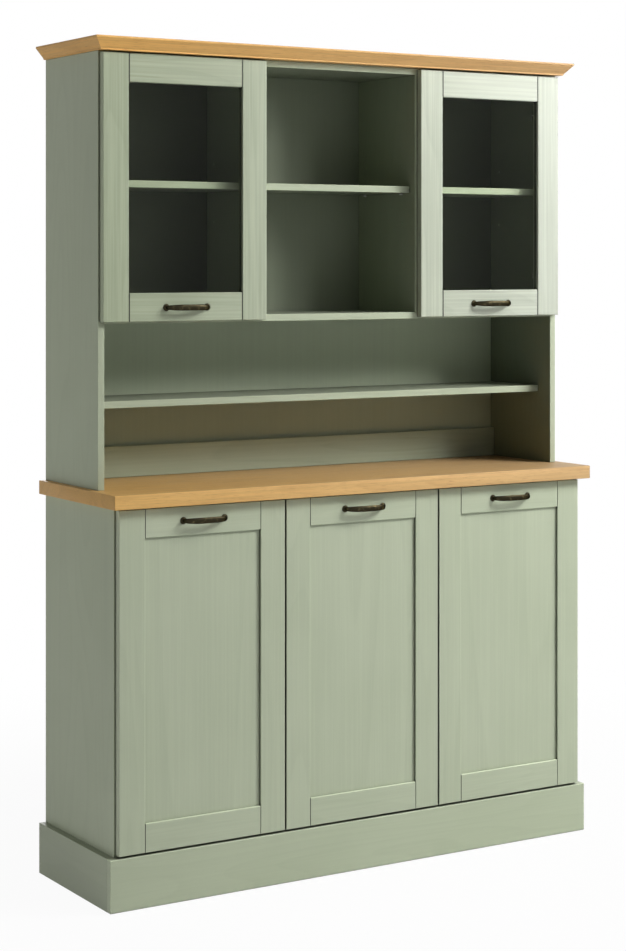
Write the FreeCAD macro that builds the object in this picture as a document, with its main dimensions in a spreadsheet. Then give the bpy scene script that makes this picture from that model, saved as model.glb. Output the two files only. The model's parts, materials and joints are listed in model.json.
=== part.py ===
import FreeCAD, Part
import math
import os
import re

# Driving sizes in millimetres. X runs to the right, Y to the rear and Z up; the floor is Z = 0 and
# the origin lies under the middle of the whole cabinet, handles included.
SIZES = {
    # Boards and carcass of the base
    "board_thickness": 16,
    "carcass_width": 1300,
    "base_depth": 360,
    "base_height": 895,
    "base_floor_level": 120,
    "glide_height": 2,
    "glide_radius": 7.5,
    "glide_inset": 30,
    "top_rail_width": 80,
    "back_inset": 20,
    "back_thickness": 5,
    "groove_depth": 5,
    "board_ease": 0.6,
    # Plinth boards round the foot
    "plinth_thickness": 17,
    "plinth_ease": 1.2,
    # Oak counter
    "counter_side_overhang": 17.5,
    "counter_front_overhang": 40,
    "counter_thickness": 32,
    "counter_ease": 1,
    # Hutch
    "hutch_height": 991,
    "hutch_depth": 280,
    "niche_height": 375,
    "niche_shelf_level": 180,
    "niche_shelf_setback": 50,
    "niche_rail_height": 74,
    "centre_opening": 428,
    "divider_reveal": 6,
    # Oak cornice board: an upright edge below, a slope that leans out, an upright edge above
    "cornice_height": 30,
    "cornice_low_edge": 3,
    "cornice_high_edge": 4,
    "cornice_side_overhang": 6,
    "cornice_front_overhang": 27,
    "cornice_lean": 19.5,
    "cornice_ease": 0.8,
    # Adjustable shelves on pins
    "shelf_side_clearance": 1,
    "shelf_rear_clearance": 2,
    "base_shelf_setback": 30,
    "base_shelf_level": 364,
    "hutch_shelf_setback": 22,
    "hutch_shelf_level": 294,
    "pin_radius": 2.5,
    "pin_hole_depth": 7.5,
    "pin_seated_length": 7,
    "pin_free_length": 8,
    "pin_inset": 35,
    "pin_pitch": 70,
    # Door frames
    "door_gap": 4,
    "door_standoff": 2,
    "door_thickness": 16,
    "plinth_door_gap": 5.5,
    "stile_width": 65,
    "rail_width": 65,
    "frame_ease": 1.2,
    "panel_recess": 6.5,
    "pane_recess": 10,
    "panel_thickness": 4,
    "slot_depth": 8,
    "slot_clearance": 0.5,
    "tenon_setback": 3.5,
    "tenon_thickness": 5,
    "tenon_length": 20,
    "tenon_shoulder": 12,
    "bead_depth": 6,
    # Bow handles
    "handle_centres": 106,
    "handle_reach": 27,
    "handle_edge_distance": 31.5,
    "foot_radius": 8,
    "foot_thickness": 3,
    "foot_ease": 1,
    "bow_end_height": 8.5,
    "bow_mid_height": 12,
    "bow_end_thickness": 6.5,
    "bow_mid_thickness": 5.5,
    # Concealed hinges: cups in the doors, arms on plates in the carcass
    "hinge_inset": 100,
    "cup_centre": 22.5,
    "cup_radius": 17.5,
    "cup_depth": 11,
    "cup_wall": 2,
    "cup_clearance": 0.1,
    "cup_flange_width": 22,
    "cup_flange_height": 60,
    "cup_flange_thickness": 1.4,
    "arm_standback": 3,
    "arm_length": 62,
    "arm_width": 16,
    "arm_rise": 14,
    "arm_plate_thickness": 4,
    "arm_plate_depth": 36,
    "arm_plate_height": 48,
    "arm_head_depth": 10,
    "link_offset": 0.5,
    "link_thickness": 5,
    "link_height": 12,
    "link_clearance": 0.3,
    # Dowels and screws
    "dowel_radius": 4,
    "dowel_face_depth": 10,
    "dowel_end_depth": 20,
    "dowel_inset": 45,
    "hole_clearance": 0.1,
    "screw_radius": 2,
    "screw_head_radius": 4,
    "screw_head_thickness": 2.5,
    "counter_screw_bite": 18,
    "handle_screw_bite": 6,
    # Length that a cutting tool runs past the face it leaves
    "overrun": 1,
}
BOW_STATIONS = 12
BOW_SQUARENESS = 2.6
BOW_STEP = 0.01
TOUCHING = 1e-4

doc = FreeCAD.newDocument("BuffetCabinet")
sheet = doc.addObject("Spreadsheet::Sheet", "Sizes")
for row, (alias, number) in enumerate(SIZES.items(), 1):
    sheet.set(f"A{row}", alias)
    sheet.set(f"B{row}", str(number))
    sheet.setAlias(f"B{row}", alias)
doc.recompute()

# Planes that several pieces share, as formulas of the driving sizes
REAR = "((base_depth + door_standoff + door_thickness + handle_reach) / 2)"
BASE_FRONT = f"({REAR} - base_depth)"
HUTCH_FRONT = f"({REAR} - hutch_depth)"
BACK_FACE = f"({REAR} - back_inset - back_thickness)"
BACK_REAR = f"({REAR} - back_inset)"
SIDE_OUT = "(carcass_width / 2)"
SIDE_IN = f"({SIDE_OUT} - board_thickness)"
BASE_FLOOR_TOP = "(base_floor_level + board_thickness)"
TOP_RAIL_LOW = "(base_height - board_thickness)"
COUNTER_TOP = "(base_height + counter_thickness)"
NICHE_TOP = f"({COUNTER_TOP} + niche_height)"
HUTCH_FLOOR_TOP = f"({NICHE_TOP} + board_thickness)"
HUTCH_TOP = f"({COUNTER_TOP} + hutch_height)"
HUTCH_CEILING = f"({HUTCH_TOP} - board_thickness)"
BASE_DOOR_FRONT = f"({BASE_FRONT} - door_standoff - door_thickness)"
GLASS_DOOR_FRONT = f"({HUTCH_FRONT} - door_standoff - door_thickness)"
BASE_DOOR_WIDTH = "((carcass_width - 4 * door_gap) / 3)"
BASE_DIVIDER_IN = f"(({BASE_DOOR_WIDTH} + door_gap - board_thickness) / 2)"
BASE_DIVIDER_OUT = f"({BASE_DIVIDER_IN} + board_thickness)"
HUTCH_DIVIDER_IN = "(centre_opening / 2)"
HUTCH_DIVIDER_OUT = f"({HUTCH_DIVIDER_IN} + board_thickness)"
SCREW_HOLE = "screw_radius + hole_clearance"

# Finished pieces by node name, and the drills that go through each
pieces = {}
drills = {}


def bind(item, prop, formula):
    """Bind a property to a formula written in the aliases of the sheet."""
    cells = re.sub(r"[a-z_]+", lambda word: f"Sizes.{word[0]}" if word[0] in SIZES else word[0], formula)
    item.setExpression(prop, cells)


def value(alias):
    """The number that the sheet holds for one alias."""
    return float(getattr(sheet, alias))


def minus(formula):
    return f"(-1 * {formula})"


def mirrored(low, high):
    """The same span on the other side of the middle plane."""
    return minus(high), minus(low)


def box(body, kind, xs, ys, zs):
    """Add a box to a body, or cut one from it; each span is a pair of formulas, low and high."""
    item = body.newObject(f"PartDesign::{kind}Box", f"{body.Name}_{kind.lower()}")
    for prop, axis, (low, high) in zip(("Length", "Width", "Height"), "xyz", (xs, ys, zs)):
        bind(item, prop, f"({high}) - ({low})")
        bind(item, f"Placement.Base.{axis}", low)
    return item


OUTER_FACE = {
    "left": ("XMax", "XMin"),
    "right": ("XMin", "XMax"),
    "front": ("YMax", "YMin"),
    "rear": ("YMin", "YMax"),
    "bottom": ("ZMax", "ZMin"),
    "top": ("ZMin", "ZMax"),
}


def ease(body, feature, sides, size):
    """Chamfer every edge of the faces on the named outer sides of a feature."""
    doc.recompute()
    limits = feature.Shape.BoundBox
    names = []
    for number, face in enumerate(feature.Shape.Faces, 1):
        for side in sides:
            face_limit, body_limit = OUTER_FACE[side]
            if abs(getattr(face.BoundBox, face_limit) - getattr(limits, body_limit)) < TOUCHING:
                names.append(f"Face{number}")
    chamfer = body.newObject("PartDesign::Chamfer", f"{body.Name}_ease")
    chamfer.Base = (feature, names)
    bind(chamfer, "Size", size)


def new_body(name):
    return doc.addObject("PartDesign::Body", name)


def board(name, xs, ys, zs, sides=("front",), size="board_ease"):
    """A flat board between the given planes, its edges eased on the named sides."""
    body = new_body(name)
    blank = box(body, "Additive", xs, ys, zs)
    if sides:
        ease(body, blank, sides, size)
    return body


def keep(label, *solids):
    """Register a node: one solid, or several like ones as a group."""
    item = solids[0]
    if len(solids) > 1:
        item = doc.addObject("Part::Compound", f"{label}_group")
        item.Links = list(solids)
    pieces[label] = item


TURNS = {
    0: FreeCAD.Rotation(FreeCAD.Vector(0, 1, 0), 90),
    1: FreeCAD.Rotation(FreeCAD.Vector(1, 0, 0), -90),
    2: FreeCAD.Rotation(),
}


def rod(name, radius, x, y, z):
    """A round bar along the axis whose place is a pair of formulas, its two ends."""
    places = [x, y, z]
    along = [isinstance(place, tuple) for place in places].index(True)
    low, high = places[along]
    places[along] = low
    item = doc.addObject("Part::Cylinder", name)
    item.Placement = FreeCAD.Placement(FreeCAD.Vector(), TURNS[along])
    bind(item, "Radius", radius)
    bind(item, "Height", f"({high}) - ({low})")
    for axis, place in zip("xyz", places):
        bind(item, f"Placement.Base.{axis}", place)
    return item


def drill(labels, radius, x, y, z):
    """One straight hole, cut through every named node that it meets."""
    tool = rod("hole", radius, x, y, z)
    for label in labels:
        drills.setdefault(label, []).append(tool)


def dowel(labels, x, y, z):
    """A dowel and its hole; the pair names the joint plane and the side that the face board is on."""
    places = []
    for place in (x, y, z):
        if isinstance(place, tuple):
            joint, face_side = place
            before = "dowel_face_depth" if face_side < 0 else "dowel_end_depth"
            after = "dowel_end_depth" if face_side < 0 else "dowel_face_depth"
            place = (f"({joint}) - {before}", f"({joint}) + {after}")
        places.append(place)
    drill(labels, "dowel_radius + hole_clearance", *places)
    dowels.append(rod("dowel", "dowel_radius", *places))


def side_dowels(label, left_board, right_board, y, z):
    """The same dowel at both ends of a cross board, into the upright on each side."""
    dowel([label, left_board], (minus(SIDE_IN), -1), y, z)
    dowel([label, right_board], (SIDE_IN, 1), y, z)


dowels = []
shelf_pins = []
hinge_arms = []


def plinth():
    """Three boards that wrap the foot of the base, on the outside of the carcass."""
    zs = ("glide_height", "base_floor_level")
    outer = f"({SIDE_OUT} + plinth_thickness)"
    front = f"({BASE_FRONT} - plinth_thickness)"
    side_span = (SIDE_OUT, outer)
    sides = ("front", "left", "right")
    keep("plinth_front", board(
        "plinth_front", (minus(outer), outer), (front, BASE_FRONT), zs, sides, "plinth_ease"))
    keep("plinth_right", board("plinth_right", side_span, (BASE_FRONT, REAR), zs, ("right",)))
    keep("plinth_left", board("plinth_left", mirrored(*side_span), (BASE_FRONT, REAR), zs, ("left",)))


def floor_glides():
    """Round glides under both sides and under the middle of both toe rails."""
    glides = []
    middle = f"({SIDE_IN} + board_thickness / 2)"
    for x in (middle, minus(middle)):
        for y in (f"({BASE_FRONT} + glide_inset)", f"({REAR} - glide_inset)"):
            glides.append(rod("glide", "glide_radius", x, y, ("0", "glide_height")))
    for y in (f"({BASE_FRONT} + board_thickness / 2)", f"({BACK_FACE} - board_thickness / 2)"):
        glides.append(rod("glide", "glide_radius", "0", y, ("0", "glide_height")))
    keep("floor_glides", *glides)


def upright(label, xs, front, zs, groove_xs, groove_low):
    """A carcass side with the groove for the back panel in its inner face."""
    body = board(label, xs, (front, REAR), zs)
    box(body, "Subtractive", groove_xs, (BACK_FACE, BACK_REAR), (groove_low, f"{zs[1]} + overrun"))
    keep(label, body)


def carcass_sides():
    """The four sides; the base's grooves start at its floor, the hutch's run right through."""
    groove = (f"({SIDE_IN} - overrun)", f"({SIDE_IN} + groove_depth)")
    for part_name, front, zs, groove_low in (
        ("base", BASE_FRONT, ("glide_height", "base_height"), "base_floor_level"),
        ("hutch", HUTCH_FRONT, (COUNTER_TOP, HUTCH_TOP), f"{COUNTER_TOP} - overrun"),
    ):
        upright(f"{part_name}_right_side", (SIDE_IN, SIDE_OUT), front, zs, groove, groove_low)
        left_span = mirrored(SIDE_IN, SIDE_OUT)
        upright(f"{part_name}_left_side", left_span, front, zs, mirrored(*groove), groove_low)


def back_panels():
    """Thin panels that sit in the grooves of the sides."""
    reach = f"({SIDE_IN} + groove_depth)"
    for label, zs in (
        ("base_back_panel", ("base_floor_level", "base_height")),
        ("hutch_back_panel", (COUNTER_TOP, HUTCH_TOP)),
    ):
        keep(label, board(label, (minus(reach), reach), (BACK_FACE, BACK_REAR), zs, ()))


def cross_boards():
    """Boards that run from side to side, and the rails of the base."""
    xs = (minus(SIDE_IN), SIDE_IN)
    deep = (BASE_FRONT, BACK_FACE)
    shallow = (HUTCH_FRONT, BACK_FACE)
    niche_shelf_low = f"({COUNTER_TOP} + niche_shelf_level)"
    keep("base_floor", board("base_floor", xs, deep, ("base_floor_level", BASE_FLOOR_TOP)))
    keep("hutch_floor", board("hutch_floor", xs, shallow, (NICHE_TOP, HUTCH_FLOOR_TOP)))
    keep("hutch_top_panel", board("hutch_top_panel", xs, shallow, (HUTCH_CEILING, HUTCH_TOP)))
    keep("niche_shelf", board(
        "niche_shelf", xs, (f"({HUTCH_FRONT} + niche_shelf_setback)", BACK_FACE),
        (niche_shelf_low, f"{niche_shelf_low} + board_thickness")))
    keep("niche_back_rail", board(
        "niche_back_rail", xs, (f"({BACK_FACE} - board_thickness)", BACK_FACE),
        (COUNTER_TOP, f"{COUNTER_TOP} + niche_rail_height"), ("front", "top")))
    toe_heights = ("glide_height", "base_floor_level")
    keep(
        "base_toe_rails",
        board("toe_front", xs, (BASE_FRONT, f"{BASE_FRONT} + board_thickness"), toe_heights, ()),
        board("toe_rear", xs, (f"{BACK_FACE} - board_thickness", BACK_FACE), toe_heights, ()))
    rail_heights = (TOP_RAIL_LOW, "base_height")
    keep(
        "base_top_rails",
        board("rail_front", xs, (BASE_FRONT, f"{BASE_FRONT} + top_rail_width"), rail_heights),
        board("rail_rear", xs, (f"{BACK_FACE} - top_rail_width", BACK_FACE), rail_heights, ()))


def dividers():
    for part_name, inner, outer, front, zs in (
        ("base", BASE_DIVIDER_IN, BASE_DIVIDER_OUT, BASE_FRONT, (BASE_FLOOR_TOP, TOP_RAIL_LOW)),
        ("hutch", HUTCH_DIVIDER_IN, HUTCH_DIVIDER_OUT, HUTCH_FRONT, (HUTCH_FLOOR_TOP, HUTCH_CEILING)),
    ):
        ys = (front, BACK_FACE)
        for side, xs in (("right", (inner, outer)), ("left", mirrored(inner, outer))):
            label = f"{part_name}_{side}_divider"
            keep(label, board(label, xs, ys, zs))


def shelf(label, walls, left, right, front, level, floor_top):
    """A loose shelf between two uprights, on four pins, with spare pin holes above and below."""
    low = f"({floor_top} + {level})"
    xs = (f"{left} + shelf_side_clearance", f"{right} - shelf_side_clearance")
    ys = (front, f"{BACK_FACE} - shelf_rear_clearance")
    keep(label, board(label, xs, ys, (low, f"{low} + board_thickness")))
    pin_z = f"({low} - pin_radius)"
    ends = (
        (walls[0], (f"{left} - pin_hole_depth", left),
         (f"{left} - pin_seated_length", f"{left} + pin_free_length")),
        (walls[1], (right, f"{right} + pin_hole_depth"),
         (f"{right} - pin_free_length", f"{right} + pin_seated_length")),
    )
    for wall, hole_span, pin_span in ends:
        for y in (f"{front} + pin_inset", f"{BACK_FACE} - pin_inset"):
            for step in (-1, 0, 1):
                hole_z = f"{pin_z} + {step} * pin_pitch"
                drill([wall], "pin_radius + hole_clearance", hole_span, y, hole_z)
            shelf_pins.append(rod("pin", "pin_radius", pin_span, y, pin_z))


def shelves():
    for part_name, inner, outer, front, level, floor_top in (
        ("base", BASE_DIVIDER_IN, BASE_DIVIDER_OUT, f"({BASE_FRONT} + base_shelf_setback)",
         "base_shelf_level", BASE_FLOOR_TOP),
        ("hutch", HUTCH_DIVIDER_IN, HUTCH_DIVIDER_OUT, f"({HUTCH_FRONT} + hutch_shelf_setback)",
         "hutch_shelf_level", HUTCH_FLOOR_TOP),
    ):
        uprights = ("left_side", "left_divider", "right_divider", "right_side")
        sides = [f"{part_name}_{name}" for name in uprights]
        bays = (
            ("left", sides[0:2], minus(SIDE_IN), minus(outer)),
            ("centre", sides[1:3], minus(inner), inner),
            ("right", sides[2:4], outer, SIDE_IN),
        )
        for bay, walls, left, right in bays:
            shelf(f"{part_name}_{bay}_shelf", walls, left, right, front, level, floor_top)


def countertop():
    half = f"({SIDE_OUT} + counter_side_overhang)"
    ys = (f"{BASE_FRONT} - counter_front_overhang", REAR)
    zs = ("base_height", COUNTER_TOP)
    xs = (minus(half), half)
    keep("countertop", board("countertop", xs, ys, zs, ("top", "bottom"), "counter_ease"))


def counter_screws():
    """Screws that rise through the top rails into the underside of the counter."""
    screws = []
    middle = f"(({SIDE_IN} + {BASE_DIVIDER_OUT}) / 2)"
    for x in (minus(middle), "0", middle):
        for y in (f"{BASE_FRONT} + top_rail_width / 2", f"{BACK_FACE} - top_rail_width / 2"):
            tip = "base_height + counter_screw_bite"
            hole_span = (f"{TOP_RAIL_LOW} - overrun", tip)
            head_span = (f"{TOP_RAIL_LOW} - screw_head_thickness", TOP_RAIL_LOW)
            drill(["base_top_rails", "countertop"], SCREW_HOLE, x, y, hole_span)
            shank = rod("shank", "screw_radius", x, y, (TOP_RAIL_LOW, tip))
            head = rod("head", "screw_head_radius", x, y, head_span)
            screws.append(joined("counter_screw", shank, head))
    keep("counter_screws", *screws)


def joined(name, *solids):
    item = doc.addObject("Part::MultiFuse", name)
    item.Shapes = list(solids)
    return item


def cornice():
    """An oak board whose front and ends lean out between two narrow upright edges."""
    body = new_body("cornice")
    low_half = f"({SIDE_OUT} + cornice_side_overhang)"
    high_half = f"({low_half} + cornice_lean)"
    low_front = f"({HUTCH_FRONT} - cornice_front_overhang)"
    high_front = f"({low_front} - cornice_lean)"
    slope_low = f"({HUTCH_TOP} + cornice_low_edge)"
    slope_high = f"({HUTCH_TOP} + cornice_height - cornice_high_edge)"
    box(body, "Additive", (minus(low_half), low_half), (low_front, REAR), (HUTCH_TOP, slope_low))
    slope = body.newObject("PartDesign::AdditiveWedge", "slope")
    slope.Placement = FreeCAD.Placement(FreeCAD.Vector(), FreeCAD.Rotation(FreeCAD.Vector(1, 0, 0), 90))
    for prop, formula in (
        ("Xmin", minus(low_half)), ("Xmax", low_half),
        ("X2min", minus(high_half)), ("X2max", high_half),
        ("Ymin", slope_low), ("Ymax", slope_high),
        ("Zmin", minus(REAR)), ("Zmax", minus(low_front)),
        ("Z2min", minus(REAR)), ("Z2max", minus(high_front)),
    ):
        bind(slope, prop, formula)
    edge = box(
        body, "Additive", (minus(high_half), high_half), (high_front, REAR),
        (slope_high, f"{HUTCH_TOP} + cornice_height"))
    ease(body, edge, ("top",), "cornice_ease")
    keep("cornice", body)


def carcass_dowels():
    """Dowels in the joints of the carcass boards, and under the sides of the hutch."""
    front = f"{BASE_FRONT} + dowel_inset"
    hutch_front = f"{HUTCH_FRONT} + dowel_inset"
    rear = f"{BACK_FACE} - dowel_inset"
    half = "board_thickness / 2"
    base = ("base_left_side", "base_right_side")
    hutch = ("hutch_left_side", "hutch_right_side")
    niche_front = f"{hutch_front} + niche_shelf_setback"
    rail_middles = (f"{BASE_FRONT} + top_rail_width / 2", f"{BACK_FACE} - top_rail_width / 2")
    cross = (
        ("base_floor", base, (front, rear), (f"base_floor_level + {half}",)),
        ("base_top_rails", base, rail_middles, (f"{TOP_RAIL_LOW} + {half}",)),
        ("base_toe_rails", base, (f"{BASE_FRONT} + {half}", f"{BACK_FACE} - {half}"),
         ("(glide_height + base_floor_level) / 2",)),
        ("hutch_floor", hutch, (hutch_front, rear), (f"{NICHE_TOP} + {half}",)),
        ("hutch_top_panel", hutch, (hutch_front, rear), (f"{HUTCH_CEILING} + {half}",)),
        ("niche_shelf", hutch, (niche_front, rear), (f"{COUNTER_TOP} + niche_shelf_level + {half}",)),
        ("niche_back_rail", hutch, (f"{BACK_FACE} - {half}",),
         (f"{COUNTER_TOP} + niche_rail_height / 4", f"{COUNTER_TOP} + niche_rail_height * 3 / 4")),
    )
    for label, walls, ys, zs in cross:
        for y in ys:
            for z in zs:
                side_dowels(label, *walls, y, z)
    for inner, part_name, below, above, low, high, y_front in (
        (BASE_DIVIDER_IN, "base", "base_floor", "base_top_rails",
         BASE_FLOOR_TOP, TOP_RAIL_LOW, front),
        (HUTCH_DIVIDER_IN, "hutch", "hutch_floor", "hutch_top_panel",
         HUTCH_FLOOR_TOP, HUTCH_CEILING, hutch_front),
    ):
        middle = f"({inner} + {half})"
        for name, x in (("left", minus(middle)), ("right", middle)):
            for y in (y_front, rear):
                dowel([f"{part_name}_{name}_divider", below], x, y, (low, -1))
                dowel([f"{part_name}_{name}_divider", above], x, y, (high, 1))
    for name, x in (("left", minus(f"({SIDE_IN} + {half})")), ("right", f"{SIDE_IN} + {half}")):
        for y in (hutch_front, rear):
            dowel(["countertop", f"hutch_{name}_side"], x, y, (COUNTER_TOP, -1))
    keep("dowels", *dowels)


def point_on_bow(turn, half_span, lift):
    """A point of the bow's middle line; a turn of zero is its left foot and pi its right foot."""
    power = 2 / BOW_SQUARENESS
    along = -math.copysign(abs(math.cos(turn)) ** power, math.cos(turn))
    rise = math.copysign(abs(math.sin(turn)) ** power, math.sin(turn))
    return FreeCAD.Vector(half_span * along, -lift * rise, 0)


def bow_section(turn, half_span, lift):
    """An oval square to the bow's middle line, taller and thinner towards the middle."""
    centre = point_on_bow(turn, half_span, lift)
    before = point_on_bow(turn - BOW_STEP, half_span, lift)
    after = point_on_bow(turn + BOW_STEP, half_span, lift)
    across = FreeCAD.Vector(0, 0, 1).cross(after - before).normalize()
    middle_share = max(-centre.y / lift, 0)
    end_share = 1 - middle_share
    height = value("bow_mid_height") * middle_share + value("bow_end_height") * end_share
    thickness = value("bow_mid_thickness") * middle_share + value("bow_end_thickness") * end_share
    top = centre + FreeCAD.Vector(0, 0, height / 2)
    oval = Part.Ellipse(top, centre + across * (thickness / 2), centre)
    return Part.Wire([oval.toShape()])


def handle_shape():
    """Two round feet joined by a bow, with its fixing plane at Y = 0."""
    half_span = value("handle_centres") / 2
    lift = value("handle_reach") - value("bow_mid_thickness") / 2
    foot_radius = value("foot_radius")
    foot_thickness = value("foot_thickness")
    turns = [math.pi * station / BOW_STATIONS for station in range(BOW_STATIONS + 1)]
    bow = Part.makeLoft([bow_section(turn, half_span, lift) for turn in turns], True, False)
    feet = []
    for end in (-half_span, half_span):
        seat = FreeCAD.Vector(end, 0, 0)
        foot = Part.makeCylinder(foot_radius, foot_thickness, seat, FreeCAD.Vector(0, -1, 0))
        rim = [edge for edge in foot.Edges if abs(edge.BoundBox.YMax + foot_thickness) < TOUCHING]
        feet.append(foot.makeFillet(value("foot_ease"), rim))
    return bow.fuse(feet).removeSplitter()


def handle(label, x, front, z):
    item = doc.addObject("Part::Feature", label)
    item.Shape = handle_shape()
    for axis, place in zip("xyz", (x, front, z)):
        bind(item, f"Placement.Base.{axis}", place)
    keep(label, item)


def bowl(body, kind, radius, x, ys, z):
    """Add a cylinder along Y to a body, or cut one from it."""
    item = body.newObject(f"PartDesign::{kind}Cylinder", f"{body.Name}_{kind.lower()}_bowl")
    item.Placement = FreeCAD.Placement(FreeCAD.Vector(), TURNS[1])
    bind(item, "Radius", radius)
    bind(item, "Height", f"({ys[1]}) - ({ys[0]})")
    for axis, place in zip("xyz", (x, ys[0], z)):
        bind(item, f"Placement.Base.{axis}", place)


def hinge_cup(name, x, door_rear, z):
    """A round cup with its flange, sunk into the rear of a door."""
    body = new_body(name)
    floor = f"{door_rear} - cup_depth"
    flange_rear = f"{door_rear} + cup_flange_thickness"
    bowl(body, "Additive", "cup_radius", x, (floor, door_rear), z)
    box(body, "Additive",
        (f"{x} - cup_flange_width / 2", f"{x} + cup_flange_width / 2"), (door_rear, flange_rear),
        (f"{z} - cup_flange_height / 2", f"{z} + cup_flange_height / 2"))
    hollow = (f"{floor} + cup_wall", f"{flange_rear} + overrun")
    bowl(body, "Subtractive", "cup_radius - cup_wall", x, hollow, z)
    return body


def hinge_arm(name, face, inward, front, cup_x, z):
    """One hinge's plate and arm on an upright, with the link that reaches into the cup."""
    body = new_body(name)
    tip = f"({front} + arm_standback)"
    head_rear = f"({tip} + arm_head_depth)"
    link_front = f"({front} - door_standoff - cup_depth + cup_wall + link_clearance)"
    cup_reach = f"{inward} * ({cup_x} - {face})"
    link_near = f"{cup_reach} + link_offset - link_thickness / 2"
    link_far = f"{cup_reach} + link_offset + link_thickness / 2"

    def across(near, far):
        span = (f"{face} + {inward} * ({near})", f"{face} + {inward} * ({far})")
        return span if inward > 0 else span[::-1]

    arm_zs = (f"{z} - arm_width / 2", f"{z} + arm_width / 2")
    plate_middle = f"({tip} + arm_length - arm_plate_depth / 2)"
    box(body, "Additive", across("0", "arm_plate_thickness"),
        (f"{plate_middle} - arm_plate_depth / 2", f"{plate_middle} + arm_plate_depth / 2"),
        (f"{z} - arm_plate_height / 2", f"{z} + arm_plate_height / 2"))
    box(body, "Additive", across("arm_plate_thickness", "arm_rise"),
        (tip, f"{tip} + arm_length"), arm_zs)
    box(body, "Additive", across("arm_plate_thickness", link_far), (tip, head_rear), arm_zs)
    box(body, "Additive", across(link_near, link_far), (link_front, head_rear),
        (f"{z} - link_height / 2", f"{z} + link_height / 2"))
    hinge_arms.append(body)


def cup_place(left, right, hinge):
    """The X of the hinge cups of a door between two edges; hinge is -1 or 1, the hung side."""
    hung_edge = right if hinge > 0 else left
    return f"({hung_edge} - {hinge} * cup_centre)"


def door_member(name, xs, ys, zs):
    """One stile or rail before its joints: a bar with its front edges eased."""
    return board(name, xs, ys, zs, ("front",), "frame_ease")


def door(label, left, right, bottom, top, front, hinge, handle_z, glazed):
    """A frame of two stiles and two rails round a panel or a pane; hinge is -1 or 1, the hung side."""
    rear = f"({front} + door_thickness)"
    ys = (front, rear)
    inner_left = f"({left} + stile_width)"
    inner_right = f"({right} - stile_width)"
    inner_bottom = f"({bottom} + rail_width)"
    inner_top = f"({top} - rail_width)"
    recess = "pane_recess" if glazed else "panel_recess"
    slot_face = f"({front} + {recess})"
    filling_rear = f"({slot_face} + panel_thickness)"
    slot_ys = (slot_face, f"{rear} + overrun" if glazed else filling_rear)
    slot_zs = (f"{inner_bottom} - slot_depth", f"{inner_top} + slot_depth")
    tenon_ys = (f"{front} + tenon_setback", f"{front} + tenon_setback + tenon_thickness")
    tenon_zs = {
        "bottom": (f"{bottom} + tenon_shoulder", f"{inner_bottom} - tenon_shoulder"),
        "top": (f"{inner_top} + tenon_shoulder", f"{top} - tenon_shoulder"),
    }
    tenon_xs = (
        (f"{inner_left} - tenon_length", inner_left),
        (inner_right, f"{inner_right} + tenon_length"),
    )

    stiles = []
    for side, xs, slot_xs, mortise_xs in (
        ("left", (left, inner_left),
         (f"{inner_left} - slot_depth", f"{inner_left} + overrun"), tenon_xs[0]),
        ("right", (inner_right, right),
         (f"{inner_right} - overrun", f"{inner_right} + slot_depth"), tenon_xs[1]),
    ):
        stile = door_member(f"{label}_{side}_stile", xs, ys, (bottom, top))
        box(stile, "Subtractive", slot_xs, slot_ys, slot_zs)
        for zs in tenon_zs.values():
            box(stile, "Subtractive", mortise_xs, tenon_ys, zs)
        stiles.append(stile)
    keep(f"{label}_stiles", *stiles)

    rails = []
    rail_slot_xs = (f"{inner_left} - overrun", f"{inner_right} + overrun")
    for end, zs, rail_slot_zs in (
        ("bottom", (bottom, inner_bottom),
         (f"{inner_bottom} - slot_depth", f"{inner_bottom} + overrun")),
        ("top", (inner_top, top),
         (f"{inner_top} - overrun", f"{inner_top} + slot_depth")),
    ):
        rail = door_member(f"{label}_{end}_rail", (inner_left, inner_right), ys, zs)
        box(rail, "Subtractive", rail_slot_xs, slot_ys, rail_slot_zs)
        for xs in tenon_xs:
            box(rail, "Additive", xs, tenon_ys, tenon_zs[end])
        rails.append(rail)
    keep(f"{label}_rails", *rails)

    seat = "(slot_depth - slot_clearance)"
    filling_xs = (f"{inner_left} - {seat}", f"{inner_right} + {seat}")
    filling_zs = (f"{inner_bottom} - {seat}", f"{inner_top} + {seat}")
    filling = f"{label}_pane" if glazed else f"{label}_panel"
    keep(filling, board(filling, filling_xs, (slot_face, filling_rear), filling_zs, ()))
    if glazed:
        beads(label, inner_left, inner_right, inner_bottom, inner_top, filling_rear)

    fittings = []
    cup_x = cup_place(left, right, hinge)
    for z in (f"({bottom} + hinge_inset)", f"({top} - hinge_inset)"):
        drill([f"{label}_stiles"], "cup_radius + cup_clearance", cup_x,
              (f"{rear} - cup_depth - cup_clearance", f"{rear} + overrun"), z)
        fittings.append(hinge_cup(f"{label}_cup", cup_x, rear, z))
    middle = f"(({left} + {right}) / 2)"
    for x in (f"{middle} - handle_centres / 2", f"{middle} + handle_centres / 2"):
        tip = f"{front} - handle_screw_bite"
        screwed = [f"{label}_rails", f"{label}_handle"]
        drill(screwed, SCREW_HOLE, x, (tip, f"{rear} + overrun"), handle_z)
        shank = rod("shank", "screw_radius", x, (tip, rear), handle_z)
        head = rod("head", "screw_head_radius", x, (rear, f"{rear} + screw_head_thickness"), handle_z)
        fittings.append(joined("handle_screw", shank, head))
    keep(f"{label}_fittings", *fittings)
    handle(f"{label}_handle", middle, front, handle_z)


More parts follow.
